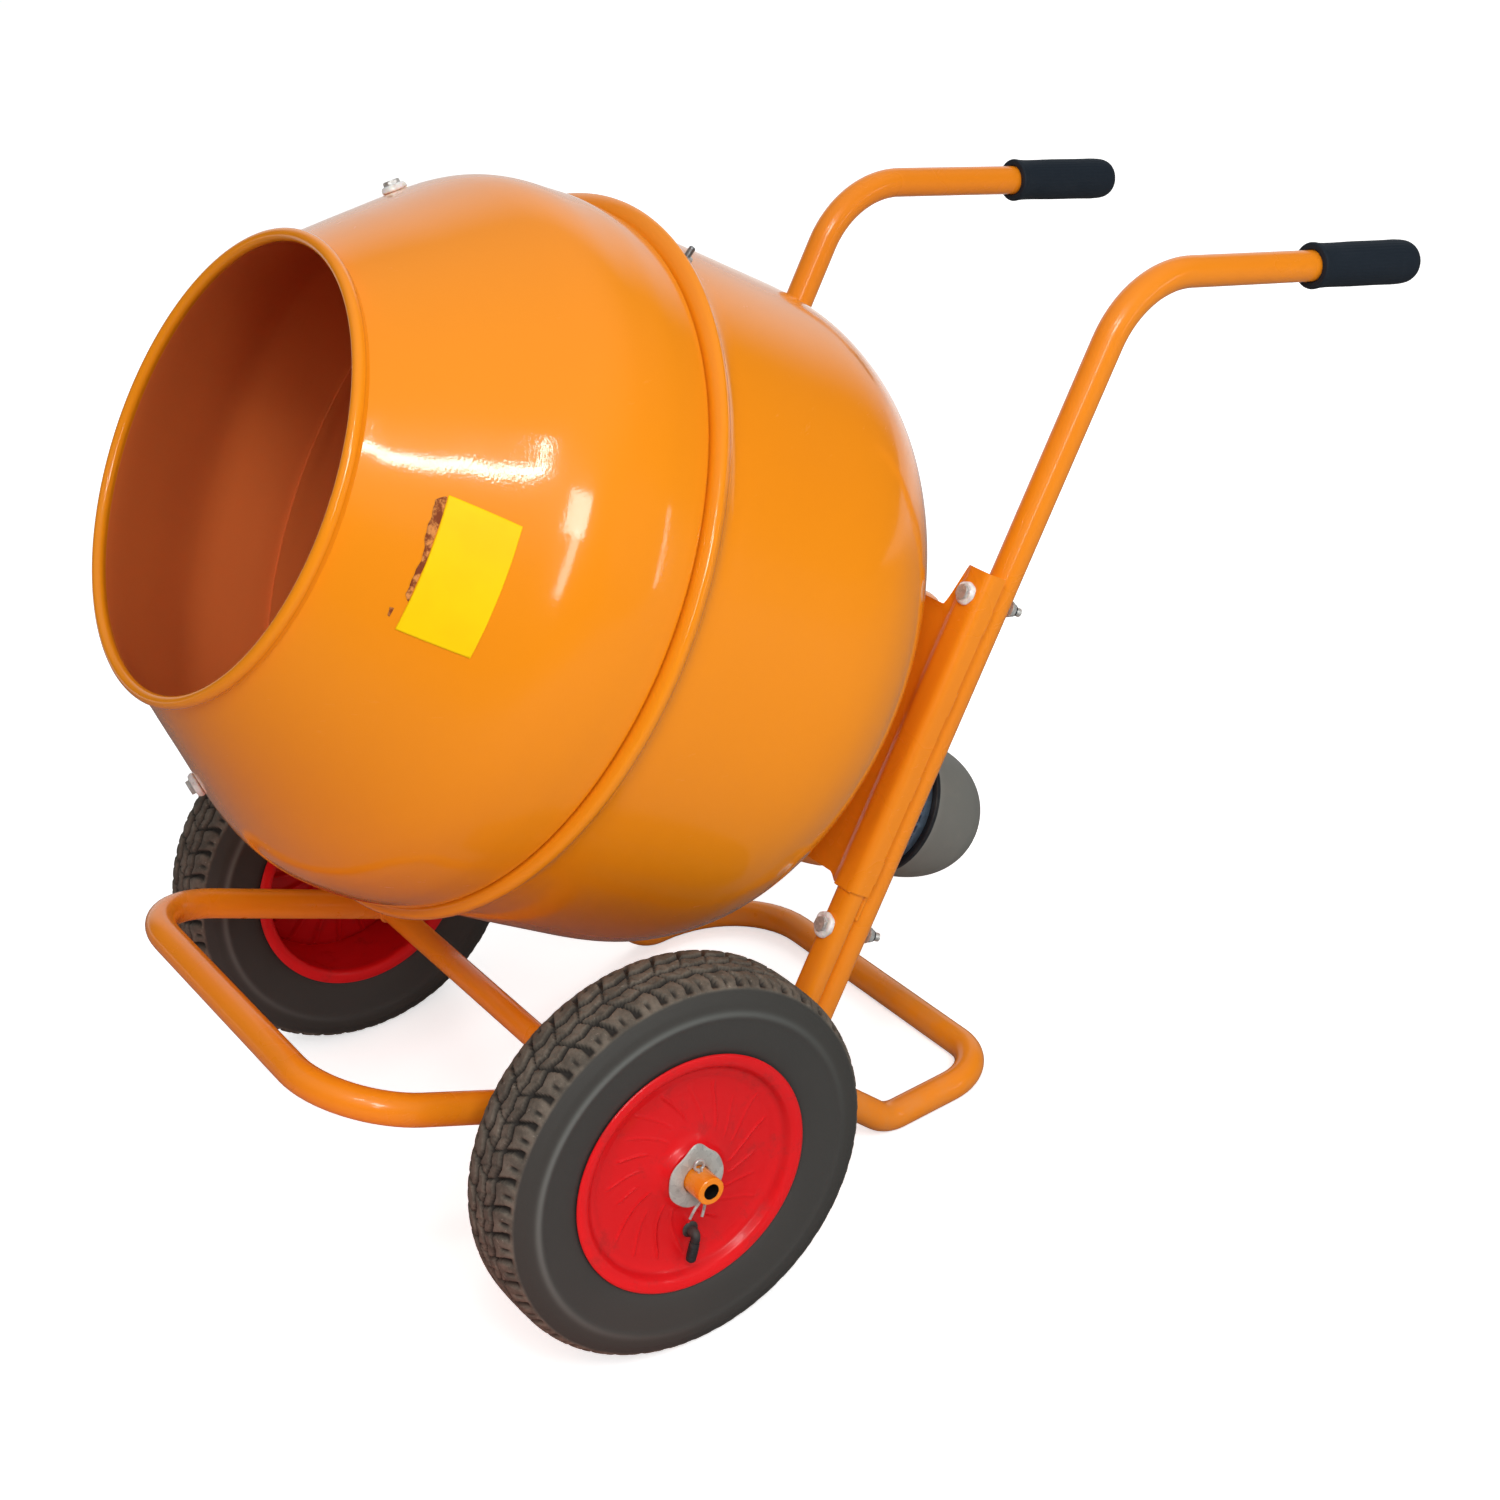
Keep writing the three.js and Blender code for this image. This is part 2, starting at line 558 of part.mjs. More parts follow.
// ---------------------------------------------------------------- drum
const DRUM_FACETS = 28;
const SHEET = 2;
const BOWL_R = 300.5;            // outside of the bowl's straight wall
const BOWL_BACK = -314;
const BOWL_FLOOR = BOWL_BACK + SHEET;
const SHELL_PROFILE = [          // [radius, z]: outside to the mouth's rolled lip, back inside
  [313, 0], [311.8, 3], [307.6, 7], [305.4, 14], [306, 40], [305, 62], [297, 95],
  [273, 135], [242.5, 175], [187, 246], [190, 249], [193, 253], [189, 257.5],
  [183.5, 254], [184.2, 247], [240.5, 173], [271, 133.5], [294.8, 94], [302.6, 62],
  [303.9, 40], [303.7, 14], [305.6, 7], [309.8, 0],
];
const BOWL_PROFILE = [           // [radius, z]: outside to the back, back inside
  [303.2, 26], [BOWL_R + 2.6, -8], [BOWL_R, -14], [BOWL_R, -176], [291, -224], [262, -268],
  [225, -292], [180, -308], [120, BOWL_BACK], [21, BOWL_BACK], [21, BOWL_FLOOR],
  [120, BOWL_FLOOR], [179.5, -306], [224, -290.2], [260.5, -266.7], [289, -223],
  [BOWL_R - SHEET, -176], [BOWL_R - SHEET, -14], [301.2, 26],
];
const BLADES = [['a', 114], ['b', 258]];             // name, angle of its bolt in degrees
const SEAM_BOLTS = [['top', 70], ['bottom', 250]];   // name, angle in degrees

// blade bolts stand nearly square to the front shell's cone
const BLADE_BOLT = { radius: 271.2, z: 137, outward: 0.79, forward: 0.613, lift: 1.2 };
const BLADE_BOLT_HEAD = [[0, 0.4], [10, 0.4], [10, 2], [6.5, 2.2], [6.5, 7], [0, 7]];

function atBladeBolt(shape, degrees) {
  const { radius, z, outward, forward, lift } = BLADE_BOLT;
  const [cos, sin] = [Math.cos(degrees * DEG), Math.sin(degrees * DEG)];
  const direction = vec(cos * outward, sin * outward, forward).normalize();
  const origin = vec(cos * radius, sin * radius, z).addScaledVector(direction, lift);
  return aim(shape, direction, origin);
}

// seam bolts lie radially through the bowl just behind the seam, their ends standing proud
const atSeamBolt = (shape, degrees) =>
  aim(shape, vec(Math.cos(degrees * DEG), Math.sin(degrees * DEG), 0), vec(0, 0, -7));

function frontShell() {
  const holes = BLADES.map(([, degrees]) => atBladeBolt(rod(4.4, -40, 30, 10), degrees));
  return cut(alongZ(lathe(SHELL_PROFILE, DRUM_FACETS)), ...holes);
}

function rearBowl() {
  const holes = SEAM_BOLTS.map(([, degrees]) => atSeamBolt(rod(3.4, 280, 330, 8), degrees));
  return cut(alongZ(lathe(BOWL_PROFILE, DRUM_FACETS)), ...holes);
}

const SHAFT_R = 12.6;
const SHAFT_BORE = 13.2;         // hole of the pieces on the shaft
const hubFlange = alongZ(ring(SHAFT_BORE, 62, -320, BOWL_BACK - GAP, 18));
const shaftNut = hexNut(SHAFT_BORE, 20, BOWL_FLOOR + GAP, -298, 16);

add(head, 'drum_front_shell', frontShell(), MATERIALS.orange);
add(head, 'drum_rear_bowl', rearBowl(), MATERIALS.orange);
add(head, 'drum_hub_flange', hubFlange, MATERIALS.iron);
add(head, 'drum_shaft', alongZ(rod(SHAFT_R, -412, -288, 16)), MATERIALS.steel);
add(head, 'shaft_nut', shaftNut, MATERIALS.zinc);

// ---------------------------------------------------------------- mixing blades
// flat bars along the drum wall, each twisting round the drum axis
const BLADE = {
  halfWidth: 42, halfThick: 2, length: 330, back: -190, steps: 5,
  wallGap: 12,
  lag: 15,                       // degrees behind its bolt
  twist: 0.09, twistZ: -25,      // degrees per mm, and where the twist is zero
};

// radius the blade follows: straight in the middle, narrowing at both ends
function wallRadius(z) {
  if (z > 60) return 300 - (z - 60) * 0.62;
  if (z < -170) return 297 - (-170 - z) * 0.5;
  return 298;
}

function mixingBlade(boltDegrees) {
  const { halfWidth, halfThick, length, back, steps, wallGap, lag, twist, twistZ } = BLADE;
  const section = [
    vec2(-halfWidth, -halfThick), vec2(halfWidth, -halfThick),
    vec2(halfWidth, halfThick), vec2(-halfWidth, halfThick),
  ];
  const blade = prism(section, length, { steps });
  // x of the bar becomes radial, y tangential, z runs along the drum axis
  const positions = blade.attributes.position;
  for (let i = 0; i < positions.count; i++) {
    const z = positions.getZ(i) + back;
    const radial = wallRadius(z) - wallGap - halfWidth + positions.getX(i);
    const tangential = positions.getY(i);
    const angle = (boltDegrees - lag + (z - twistZ) * twist) * DEG;
    const [cos, sin] = [Math.cos(angle), Math.sin(angle)];
    positions.setXYZ(i, radial * cos - tangential * sin, radial * sin + tangential * cos, z);
  }
  return blade;
}

for (const [name, degrees] of BLADES) {
  add(head, `mixing_blade_${name}`, mixingBlade(degrees), MATERIALS.blade);
}
for (const [name, degrees] of BLADES) {
  const bolt = join(rod(4, -22, 2, 8), lathe(BLADE_BOLT_HEAD, 10));
  add(head, `blade_bolt_${name}`, atBladeBolt(bolt, degrees), MATERIALS.zinc);
}
for (const [name, degrees] of SEAM_BOLTS) {
  const bolt = join(rod(3, 290, 317.5, 8), rod(6, 304.4, 309, 6));
  add(head, `seam_bolt_${name}`, atSeamBolt(bolt, degrees), MATERIALS.zinc);
}

// ---------------------------------------------------------------- gears
// straight-sided teeth, the first one centred on the phase angle
function gearOutline(teeth, phase) {
  const pitchRadius = (teeth * GEAR_MODULE) / 2;
  const tipRadius = pitchRadius + 0.72 * GEAR_MODULE;
  const rootRadius = pitchRadius - 1.05 * GEAR_MODULE;
  const halfTooth = (Math.PI / teeth) * 0.5;
  const root = halfTooth * 1.2;
  const tip = halfTooth * 0.42;
  const tooth = [[rootRadius, -root], [tipRadius, -tip], [tipRadius, tip], [rootRadius, root]];
  return Array.from({ length: teeth }, (_, i) => (i / teeth) * 2 * Math.PI + phase)
    .flatMap((centre) => tooth.map(([radius, angle]) =>
      vec2(radius * Math.cos(centre + angle), radius * Math.sin(centre + angle))));
}

// a space between two teeth faces straight down, towards the pinion
function driveGear() {
  const outline = gearOutline(GEAR_TEETH, -Math.PI / 2 + Math.PI / GEAR_TEETH);
  const hole = polygon(SHAFT_BORE, SHAFT_BORE, 16, 0);
  return prism(outline, 14, { hole }).translate(0, 0, -404);
}

// a tooth stands straight up into that space
function motorPinion() {
  const pinion = prism(gearOutline(PINION_TEETH, Math.PI / 2), 16).translate(0, MOTOR_Y, -405);
  return join(pinion, onMotorAxis(rod(10, -438, -404, 14)));
}

add(head, 'drive_gear', driveGear(), MATERIALS.iron);
add(head, 'motor_pinion', motorPinion(), MATERIALS.steel);

// the origin goes to the ground under the middle of the rear cross bar
group.position.set(0, -HEEL.y, 0);
group.updateMatrixWorld(true);
export default group;
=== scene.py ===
# Looks of a barrow concrete mixer: a tube frame on two wheels, a tilted drum, its drive and switch.
# Pieces are laid out in millimetres: x across (+x is the side named right), -y to the front,
# z up from the ground, with the axle above the origin. Piece.make turns them into metres.
import math

import bpy
import numpy as np
from mathutils import Matrix, Vector


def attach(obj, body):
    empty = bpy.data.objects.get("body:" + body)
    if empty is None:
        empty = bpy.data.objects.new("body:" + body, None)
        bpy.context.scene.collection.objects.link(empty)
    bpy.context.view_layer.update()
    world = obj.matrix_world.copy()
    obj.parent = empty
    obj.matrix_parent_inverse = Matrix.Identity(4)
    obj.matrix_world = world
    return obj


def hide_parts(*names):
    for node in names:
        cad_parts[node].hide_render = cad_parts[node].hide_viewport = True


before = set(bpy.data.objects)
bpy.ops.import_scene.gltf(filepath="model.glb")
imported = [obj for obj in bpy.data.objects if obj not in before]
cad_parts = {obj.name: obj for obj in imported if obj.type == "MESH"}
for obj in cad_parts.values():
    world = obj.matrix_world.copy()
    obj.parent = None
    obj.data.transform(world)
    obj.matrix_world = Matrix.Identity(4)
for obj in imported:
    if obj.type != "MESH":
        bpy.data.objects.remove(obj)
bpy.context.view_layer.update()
scene = bpy.context.scene

# ------------------------------------------------------------------ driving dimensions
ORIGIN_Y = 0.399  # metres from the axle back to the CAD origin, under the rear bar
WHEEL_R, WHEEL_X = 172.0, 303.0
TUBE_R, RAIL_X = 14.0, 210.0  # frame tube radius; side rails' distance from the middle
# side rail in (y, z): where its straights would meet
RAIL_FRONT, RAIL_TOP, RAIL_REAR = (0.0, 173.0), (145.0, 146.0), (274.0, 13.0)
SPLIT_Y = 62.0  # where the front and rear hoops are welded together
TOE, TOE_BEND = (-237.0, 281.0), 80.0
HEEL, HEEL_BENDS = (399.0, 13.0), (50.0, 105.0)  # bend radii on the +x and -x sides

# the head frame carries drum, motor and legs: x, rise (square to the drum axis), along (to its mouth)
TILT = math.radians(35)
PIVOT = np.array([0.0, 66.0, 594.0])
RISE = np.array([0, math.sin(TILT), math.cos(TILT)])
ALONG = np.array([0, -math.cos(TILT), math.sin(TILT)])
AXES = np.array([[1.0, 0, 0], RISE, ALONG])

HANDLE_ALONG, LEG_ALONG, LEG_X = -369.4, -345.0, 214.0
MOTOR_RISE, COVER_BACK = -110.0, -421.0


def head(x, rise, along):
    """points of the head frame"""
    parts = [np.multiply.outer(np.asarray(v, float), axis) for v, axis in zip((x, rise, along), AXES)]
    return PIVOT + parts[0] + parts[1] + parts[2]


# ------------------------------------------------------------------ shader helpers
def srgb(*channels):
    def linear(level):
        level /= 255
        return (level / 12.92) if level <= 0.04045 else ((level + 0.055) / 1.055) ** 2.4

    return tuple(linear(level) for level in channels) + (1.0,)


class Graph:
    """short ways to make and wire shader nodes"""

    def __init__(self, tree):
        self.tree = tree

    def node(self, kind, **settings):
        made = self.tree.nodes.new(kind)
        for key, value in settings.items():
            setattr(made, key, value)
        return made

    def put(self, socket, value):
        if isinstance(value, bpy.types.NodeSocket):
            self.tree.links.new(value, socket)
        elif value is not None:
            socket.default_value = value

    def ramp(self, value, lo, hi, start=0.0, stop=1.0, smooth=True):
        kind = "SMOOTHSTEP" if smooth else "LINEAR"
        made = self.node("ShaderNodeMapRange", interpolation_type=kind)
        limits = {"Value": value, "From Min": lo, "From Max": hi, "To Min": start, "To Max": stop}
        for key, val in limits.items():
            self.put(made.inputs[key], val)
        return made.outputs["Result"]

    def math(self, operation, first, second):
        made = self.node("ShaderNodeMath", operation=operation)
        self.put(made.inputs[0], first)
        self.put(made.inputs[1], second)
        return made.outputs[0]

    def times(self, first, by):
        return self.math("MULTIPLY", first, by)

    def plus(self, value, mask, amount):
        """value + mask * amount"""
        return self.math("ADD", value, self.times(mask, by=amount))

    def mix(self, factor, first, second, mode="MIX"):
        made = self.node("ShaderNodeMix", data_type="RGBA", blend_type=mode)
        for index, value in zip((0, 6, 7), (factor, first, second)):
            self.put(made.inputs[index], value)
        return made.outputs[2]

    def mix_float(self, factor, first, second):
        made = self.node("ShaderNodeMix", data_type="FLOAT")
        for index, value in zip((0, 2, 3), (factor, first, second)):
            self.put(made.inputs[index], value)
        return made.outputs[0]

    def height_of(self, vector):
        made = self.node("ShaderNodeSeparateXYZ")
        self.put(made.inputs[0], vector)
        return made.outputs[2]

    def toward(self, vector, direction):
        """how far a vector reaches in a direction"""
        made = self.node("ShaderNodeVectorMath", operation="DOT_PRODUCT")
        self.put(made.inputs[0], vector)
        made.inputs[1].default_value = direction
        return made.outputs["Value"]


class Material(Graph):
    """a principled material whose textures follow object coordinates"""

    INPUTS = {"base": "Base Color", "rough": "Roughness", "metal": "Metallic", "normal": "Normal",
              "coat": "Coat Weight", "coat_rough": "Coat Roughness", "coat_normal": "Coat Normal",
              "spec": "Specular IOR Level", "sss": "Subsurface Weight",
              "emit": "Emission Color", "emit_strength": "Emission Strength"}

    def __init__(self, name):
        self.material = bpy.data.materials.new(name)
        self.material.use_nodes = True
        super().__init__(self.material.node_tree)
        self.tree.nodes.clear()
        output = self.node("ShaderNodeOutputMaterial")
        self.shader = self.node("ShaderNodeBsdfPrincipled")
        self.put(output.inputs[0], self.shader.outputs[0])
        self.coords = self.node("ShaderNodeTexCoord").outputs["Object"]

    def noise(self, scale, detail=3.0, rough=0.55, vector=None):
        made = self.node("ShaderNodeTexNoise")
        self.put(made.inputs["Vector"], vector or self.coords)
        self.put(made.inputs["Scale"], scale)
        self.put(made.inputs["Detail"], detail)
        self.put(made.inputs["Roughness"], rough)
        return made.outputs["Fac"]

    def patches(self, scale, lo, hi, detail=3.0, rough=0.55, top=1.0, vector=None):
        """noise cut into patches: 0 below lo, top above hi"""
        return self.ramp(self.noise(scale, detail, rough, vector), lo, hi, stop=top)

    def cells(self, scale):
        made = self.node("ShaderNodeTexVoronoi")
        self.put(made.inputs["Vector"], self.coords)
        made.inputs["Scale"].default_value = scale
        return made.outputs

    def bump(self, height, distance, strength, normal=None):
        made = self.node("ShaderNodeBump")
        self.put(made.inputs["Height"], height)
        self.put(made.inputs["Distance"], distance)
        self.put(made.inputs["Strength"], strength)
        self.put(made.inputs["Normal"], normal)
        return made.outputs["Normal"]

    def edges(self, lo, hi):
        """mask of the sharp outer edges"""
        return self.ramp(self.node("ShaderNodeNewGeometry").outputs["Pointiness"], lo, hi)

    def layer(self, name):
        """a mask stored on the mesh"""
        return self.node("ShaderNodeAttribute", attribute_name=name).outputs["Fac"]

    def finish(self, **values):
        for key, value in values.items():
            self.put(self.shader.inputs[self.INPUTS[key]], value)
        return self.material


# ------------------------------------------------------------------ materials
def paint(name, base, deep, rough, coat, dust, wear, scuffs, spec=0.3):
    """glossy baked paint: orange peel, tone drift, scuffs, dust low down, wear on sharp edges"""
    m = Material(name)
    drift = m.patches(scale=3.2, detail=2.0, lo=0.35, hi=0.68)
    colour = m.mix(m.times(drift, by=0.30), base, deep)
    stretch = m.node("ShaderNodeMapping")
    m.put(stretch.inputs[0], m.coords)
    stretch.inputs["Scale"].default_value = (1.0, 1.0, 5.0)
    scuff = m.patches(scale=38.0, detail=6.0, rough=0.72, lo=0.60, hi=0.74, top=scuffs,
                      vector=stretch.outputs[0])
    low = m.ramp(m.height_of(m.coords), lo=0.30, hi=0.02)
    dusty = m.times(low, m.patches(scale=26.0, detail=5.0, rough=0.65, lo=0.42, hi=0.66))
    dusty = m.times(dusty, dust)
    colour = m.mix(dusty, colour, srgb(176, 158, 132))
    chip = m.times(m.edges(lo=0.56, hi=0.66),
                   m.patches(scale=90.0, detail=4.0, rough=0.7, lo=0.50, hi=0.60))
    chip = m.times(chip, wear)
    colour = m.mix(chip, colour, srgb(96, 70, 52))
    peel = m.noise(scale=420.0, detail=2.0, rough=0.5)
    normal = m.bump(peel, distance=0.00009, strength=0.5)
    normal = m.bump(scuff, distance=0.00008, strength=0.35, normal=normal)
    normal = m.bump(chip, distance=0.0003, strength=-0.6, normal=normal)
    gloss = m.plus(rough, scuff, amount=0.16)
    gloss = m.plus(gloss, dusty, amount=0.5)
    gloss = m.plus(gloss, m.patches(scale=9.0, lo=0.4, hi=0.7), amount=0.05)
    clear = m.math("SUBTRACT", coat, m.times(dusty, by=0.9))
    return m.finish(base=colour, rough=gloss, normal=normal, coat=clear, coat_rough=0.06,
                    coat_normal=normal, spec=spec)


def metal(name, base, rough, spangle=60.0, stain=srgb(120, 110, 96), stained=0.35, metalness=0.95):
    """plated metal with crystal spangles and dull stains"""
    m = Material(name)
    split = m.node("ShaderNodeSeparateColor")
    m.put(split.inputs[0], m.cells(scale=spangle * 6)["Color"])
    tone = m.ramp(split.outputs[0], lo=0.0, hi=1.0, start=0.78, stop=1.08, smooth=False)
    colour = m.mix(1.0, base, (1, 1, 1, 1), "MULTIPLY")
    colour = m.mix(1.0, colour, tone, "MULTIPLY")
    spots = m.times(m.patches(scale=120.0, detail=5.0, rough=0.7, lo=0.52, hi=0.70), stained)
    colour = m.mix(spots, colour, stain)
    gloss = m.plus(rough, m.noise(scale=260.0, detail=4.0), amount=0.18)
    gloss = m.plus(gloss, spots, amount=0.4)
    normal = m.bump(m.noise(scale=600.0), distance=0.00010, strength=0.5)
    normal = m.bump(spots, distance=0.00015, strength=-0.4, normal=normal)
    shine = m.math("SUBTRACT", metalness, m.times(spots, by=0.5))
    return m.finish(base=colour, rough=gloss, metal=shine, normal=normal)


def plastic(name, base, rough, grain, grain_depth, dust=0.15, coat=0.0):
    """grained plastic, dusty in patches and pale on its edges"""
    m = Material(name)
    dusty = m.times(m.patches(scale=30.0, detail=5.0, rough=0.7, lo=0.45, hi=0.72), dust)
    colour = m.mix(dusty, base, srgb(150, 142, 130))
    edge = m.times(m.edges(lo=0.54, hi=0.64), by=0.25)
    colour = m.mix(edge, colour, srgb(170, 168, 160))
    gloss = m.plus(rough, m.noise(scale=18.0), amount=0.12)
    normal = m.bump(m.noise(grain, detail=2.0, rough=0.6), distance=grain_depth, strength=0.6)
    normal = m.bump(m.noise(scale=70.0), distance=0.00012, strength=0.25, normal=normal)
    return m.finish(base=colour, rough=gloss, normal=normal, coat=coat, coat_rough=0.12)


def grip_rubber():
    m = Material("grip_rubber")
    dusty = m.times(m.patches(scale=24.0, detail=5.0, rough=0.7, lo=0.48, hi=0.74), by=0.16)
    colour = m.mix(dusty, srgb(24, 34, 44), srgb(50, 56, 62))
    edge = m.times(m.edges(lo=0.53, hi=0.62), by=0.3)
    colour = m.mix(edge, colour, srgb(88, 92, 94))
    normal = m.bump(m.cells(scale=700.0)["Distance"], distance=0.00022, strength=0.5)
    grain = m.noise(scale=1200.0, detail=2.0)
    normal = m.bump(grain, distance=0.00012, strength=0.4, normal=normal)
    gloss = m.plus(0.62, m.noise(scale=20.0), amount=0.2)
    return m.finish(base=colour, rough=gloss, normal=normal, spec=0.35)


def tyre_rubber():
    """dusty brown-grey lugs, grooves darkened with painted shade, a darker smooth sidewall and a
    painted highlight along its ridge
    """
    m = Material("tyre_rubber")
    lug, groove, ridge_highlight, band = [m.layer(name) for name in ("lug", "groove", "ridge_highlight", "band")]
    grime = m.patches(scale=55.0, detail=6.0, rough=0.72, lo=0.35, hi=0.68)
    mottle = m.times(m.noise(scale=7.0, detail=4.0, rough=0.6), by=0.5)
    wall = m.mix(mottle, srgb(58, 58, 56), srgb(70, 69, 65))
    lug_colour = m.mix(grime, srgb(82, 76, 68), srgb(112, 103, 92))
    wall = m.mix(m.times(band, by=0.55), wall, srgb(60, 58, 54))
    colour = m.mix(lug, wall, lug_colour)
    # painted highlight: a pale line along the sidewall's ridge
    colour = m.mix(ridge_highlight, colour, srgb(116, 120, 116))
    speck = m.times(m.patches(scale=240.0, detail=5.0, rough=0.75, lo=0.60, hi=0.70),
                    m.times(lug, by=0.45))
    colour = m.mix(speck, colour, srgb(160, 152, 138))
    # painted shade: the grooves darkened
    colour = m.mix(groove, colour, srgb(38, 36, 34))
    gloss = m.plus(0.52, lug, amount=0.3)
    gloss = m.plus(gloss, m.noise(scale=14.0, detail=4.0), amount=0.14)
    fine = m.noise(scale=500.0, detail=4.0, rough=0.7)
    normal = m.bump(fine, distance=0.0003, strength=0.4)
    coarse = m.noise(scale=90.0, detail=4.0, rough=0.6)
    normal = m.bump(coarse, distance=0.0005, strength=0.25, normal=normal)
    return m.finish(base=colour, rough=gloss, normal=normal, spec=0.4)


def rim_plastic():
    m = Material("rim_red")
    dirt = m.times(m.patches(scale=34.0, detail=6.0, rough=0.72, lo=0.52, hi=0.72), by=0.30)
    hollow = m.layer("hollow")
    drift = m.patches(scale=5.0, detail=2.0, lo=0.3, hi=0.7)
    colour = m.mix(drift, srgb(226, 22, 28), srgb(216, 20, 26))
    # painted shade: darker in the web between the ribs, in a ring at the flange's step and on the rim's
    # back
    colour = m.mix(m.times(hollow, by=0.6), colour, srgb(160, 16, 22))
    colour = m.mix(dirt, colour, srgb(120, 40, 36))
    gloss = m.plus(0.30, dirt, amount=0.9)
    normal = m.bump(m.noise(scale=60.0), distance=0.0004, strength=0.25)
    grain = m.noise(scale=700.0, detail=2.0)
    normal = m.bump(grain, distance=0.0001, strength=0.4, normal=normal)
    return m.finish(base=colour, rough=gloss, normal=normal, coat=0.18, coat_rough=0.14, spec=0.25)


def sticker_paper():
    """yellow print, brown paper where it is torn"""
    m = Material("plain_sticker")
    torn = m.layer("torn")
    wrinkle = m.noise(scale=22.0, rough=0.5)
    yellow = m.mix(m.patches(scale=16.0, lo=0.35, hi=0.7), srgb(250, 206, 2), srgb(248, 199, 4))
    brown = m.mix(m.patches(scale=120.0, detail=4.0, rough=0.7, lo=0.42, hi=0.60),
                  srgb(128, 62, 34), srgb(216, 140, 74))
    normal = m.bump(wrinkle, distance=0.0008, strength=0.35)
    normal = m.bump(m.noise(scale=260.0), distance=0.00012, strength=0.4, normal=normal)
    return m.finish(base=m.mix(torn, yellow, brown), rough=m.plus(0.46, torn, amount=0.35),
                    normal=normal, spec=0.15)


def nylon():
    """milky cap plastic"""
    m = Material("bolt_cap_nylon")
    colour = m.mix(m.patches(scale=160.0, detail=4.0, lo=0.45, hi=0.75),
                   srgb(246, 240, 236), srgb(214, 196, 188))
    dents = m.noise(scale=240.0, detail=4.0, rough=0.6)
    return m.finish(base=colour, rough=m.plus(0.16, m.noise(scale=80.0), amount=0.25),
                    normal=m.bump(dents, distance=0.0006, strength=0.5),
                    coat=0.6, coat_rough=0.05, sss=0.15)


def cast_iron():
    m = Material("cast_iron")
    rust = m.times(m.patches(scale=42.0, detail=6.0, rough=0.72, lo=0.54, hi=0.70), by=0.45)
    colour = m.mix(rust, srgb(92, 92, 94), srgb(116, 70, 44))
    gloss = m.plus(0.48, m.noise(scale=120.0, detail=4.0), amount=0.3)
    grain = m.noise(scale=300.0, detail=5.0, rough=0.7)
    return m.finish(base=colour, rough=gloss, metal=0.7,
                    normal=m.bump(grain, distance=0.0005, strength=0.6))


def mortar_paint():
    """orange blade paint, mostly hidden by dried mortar"""
    m = Material("blade_mortar")
    crust = m.patches(scale=28.0, detail=6.0, rough=0.7, lo=0.42, hi=0.60)
    colour = m.mix(crust, srgb(200, 98, 28), srgb(122, 104, 88))
    grain = m.noise(scale=160.0, detail=5.0, rough=0.7)
    normal = m.bump(grain, distance=0.0008, strength=0.5)
    normal = m.bump(crust, distance=0.001, strength=0.4, normal=normal)
    return m.finish(base=colour, rough=m.plus(0.35, crust, amount=0.45), normal=normal)


